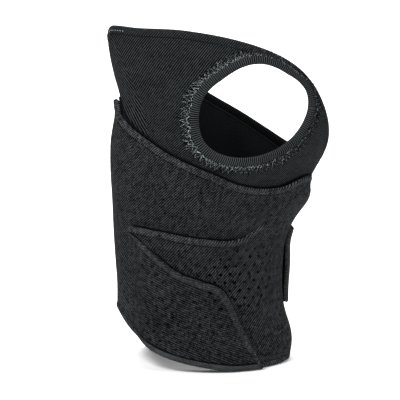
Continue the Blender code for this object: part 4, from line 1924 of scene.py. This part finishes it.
@dataclass
class Studio:
    """The floor, the lights and the camera. Its lengths are in metres.

    Attributes:
        aim: The place that the camera looks at.
        azimuth: The side it looks from, in degrees.
        elevation: How far above the horizon it is, in degrees.
        distance: How far away it is.
        lens: Its focal length, in millimetres.
        floor_size: Half the floor's width.
        sky: How brightly the sky lights the support.
        backdrop: How bright the sky looks to the camera.
    """

    aim: Triple = (-0.0116, 0.0, 0.1034)
    azimuth: float = 0.0
    elevation: float = 12.0
    distance: float = 3.2
    lens: float = 450.0
    floor_size: float = 3.0
    sky: float = 0.5
    backdrop: float = 1.03

    def build(self) -> None:
        """Sets up the studio."""
        bpy.context.scene.view_settings.view_transform = "Standard"
        self._floor()
        self._lights()
        self._camera()

    def _floor(self) -> None:
        """A plain pale floor."""
        size = self.floor_size
        mesh = bpy.data.meshes.new("floor")
        ends = [(-size, -size, 0), (size, -size, 0), (size, size, 0), (-size, size, 0)]
        mesh.from_pydata(ends, [], [(0, 1, 2, 3)])
        floor = linked("floor", mesh)
        material = bpy.data.materials.new("floor_paint")
        material.use_nodes = True
        shader = material.node_tree.nodes["Principled BSDF"]
        shader.inputs["Base Color"].default_value = (0.94, 0.94, 0.94, 1)
        shader.inputs["Roughness"].default_value = 0.8
        mesh.materials.append(material)

    def _lights(self) -> None:
        """A pale sky, three soft lamps on the support and one on the floor behind it."""
        world = bpy.data.worlds.new("studio")
        bpy.context.scene.world = world
        world.use_nodes = True
        background = world.node_tree.nodes["Background"]
        background.inputs["Color"].default_value = (1, 1, 1, 1)
        path = world.node_tree.nodes.new("ShaderNodeLightPath")
        glow = world.node_tree.nodes.new("ShaderNodeMapRange")
        glow.inputs["To Min"].default_value = self.sky
        glow.inputs["To Max"].default_value = self.backdrop
        world.node_tree.links.new(path.outputs["Is Camera Ray"], glow.inputs["Value"])
        world.node_tree.links.new(glow.outputs["Result"], background.inputs["Strength"])
        for name, place, power, size in (
            ("key", (-0.7, -0.8, 1.3), 24.0, 0.5), ("fill", (1.1, -0.8, 0.7), 7.0, 0.8),
            ("top", (0.1, 0.4, 1.5), 14.0, 1.0), ("back", (0.0, 1.9, 1.2), 40.0, 1.6),
        ):
            lamp = bpy.data.lights.new(name, "AREA")
            lamp.energy, lamp.size = power, size
            holder = linked(name, lamp)
            holder.location = place
            aim = Vector((0, 1.4, 0)) if name == "back" else Vector((0, 0, 0.1))
            holder.rotation_euler = (aim - Vector(place)).to_track_quat("-Z", "Y").to_euler()

    def _camera(self) -> None:
        """The camera, level with no roll."""
        az, el = math.radians(self.azimuth), math.radians(self.elevation)
        toward = Vector((math.sin(az) * math.cos(el), -math.cos(az) * math.cos(el), math.sin(el)))
        data = bpy.data.cameras.new("camera")
        data.lens, data.sensor_width = self.lens, 36.0
        data.clip_start, data.clip_end = 0.05, 20.0
        camera = linked("camera", data)
        camera.location = Vector(self.aim) + toward * self.distance
        camera.rotation_euler = (-toward).to_track_quat("-Z", "Y").to_euler()
        bpy.context.scene.camera = camera


def main() -> None:
    """Builds every sub-assembly in order."""
    logging.basicConfig(level=logging.INFO, format="%(name)s: %(message)s")
    Studio().build()
    finishes = Wardrobe()
    for assembly in (Sleeve, ElbowOpening, Wrap, FrontFlap, ClosingStrap):
        log.info("building the %s", assembly.__name__)
        assembly(finishes).build()


if __name__ == "__main__":
    main()
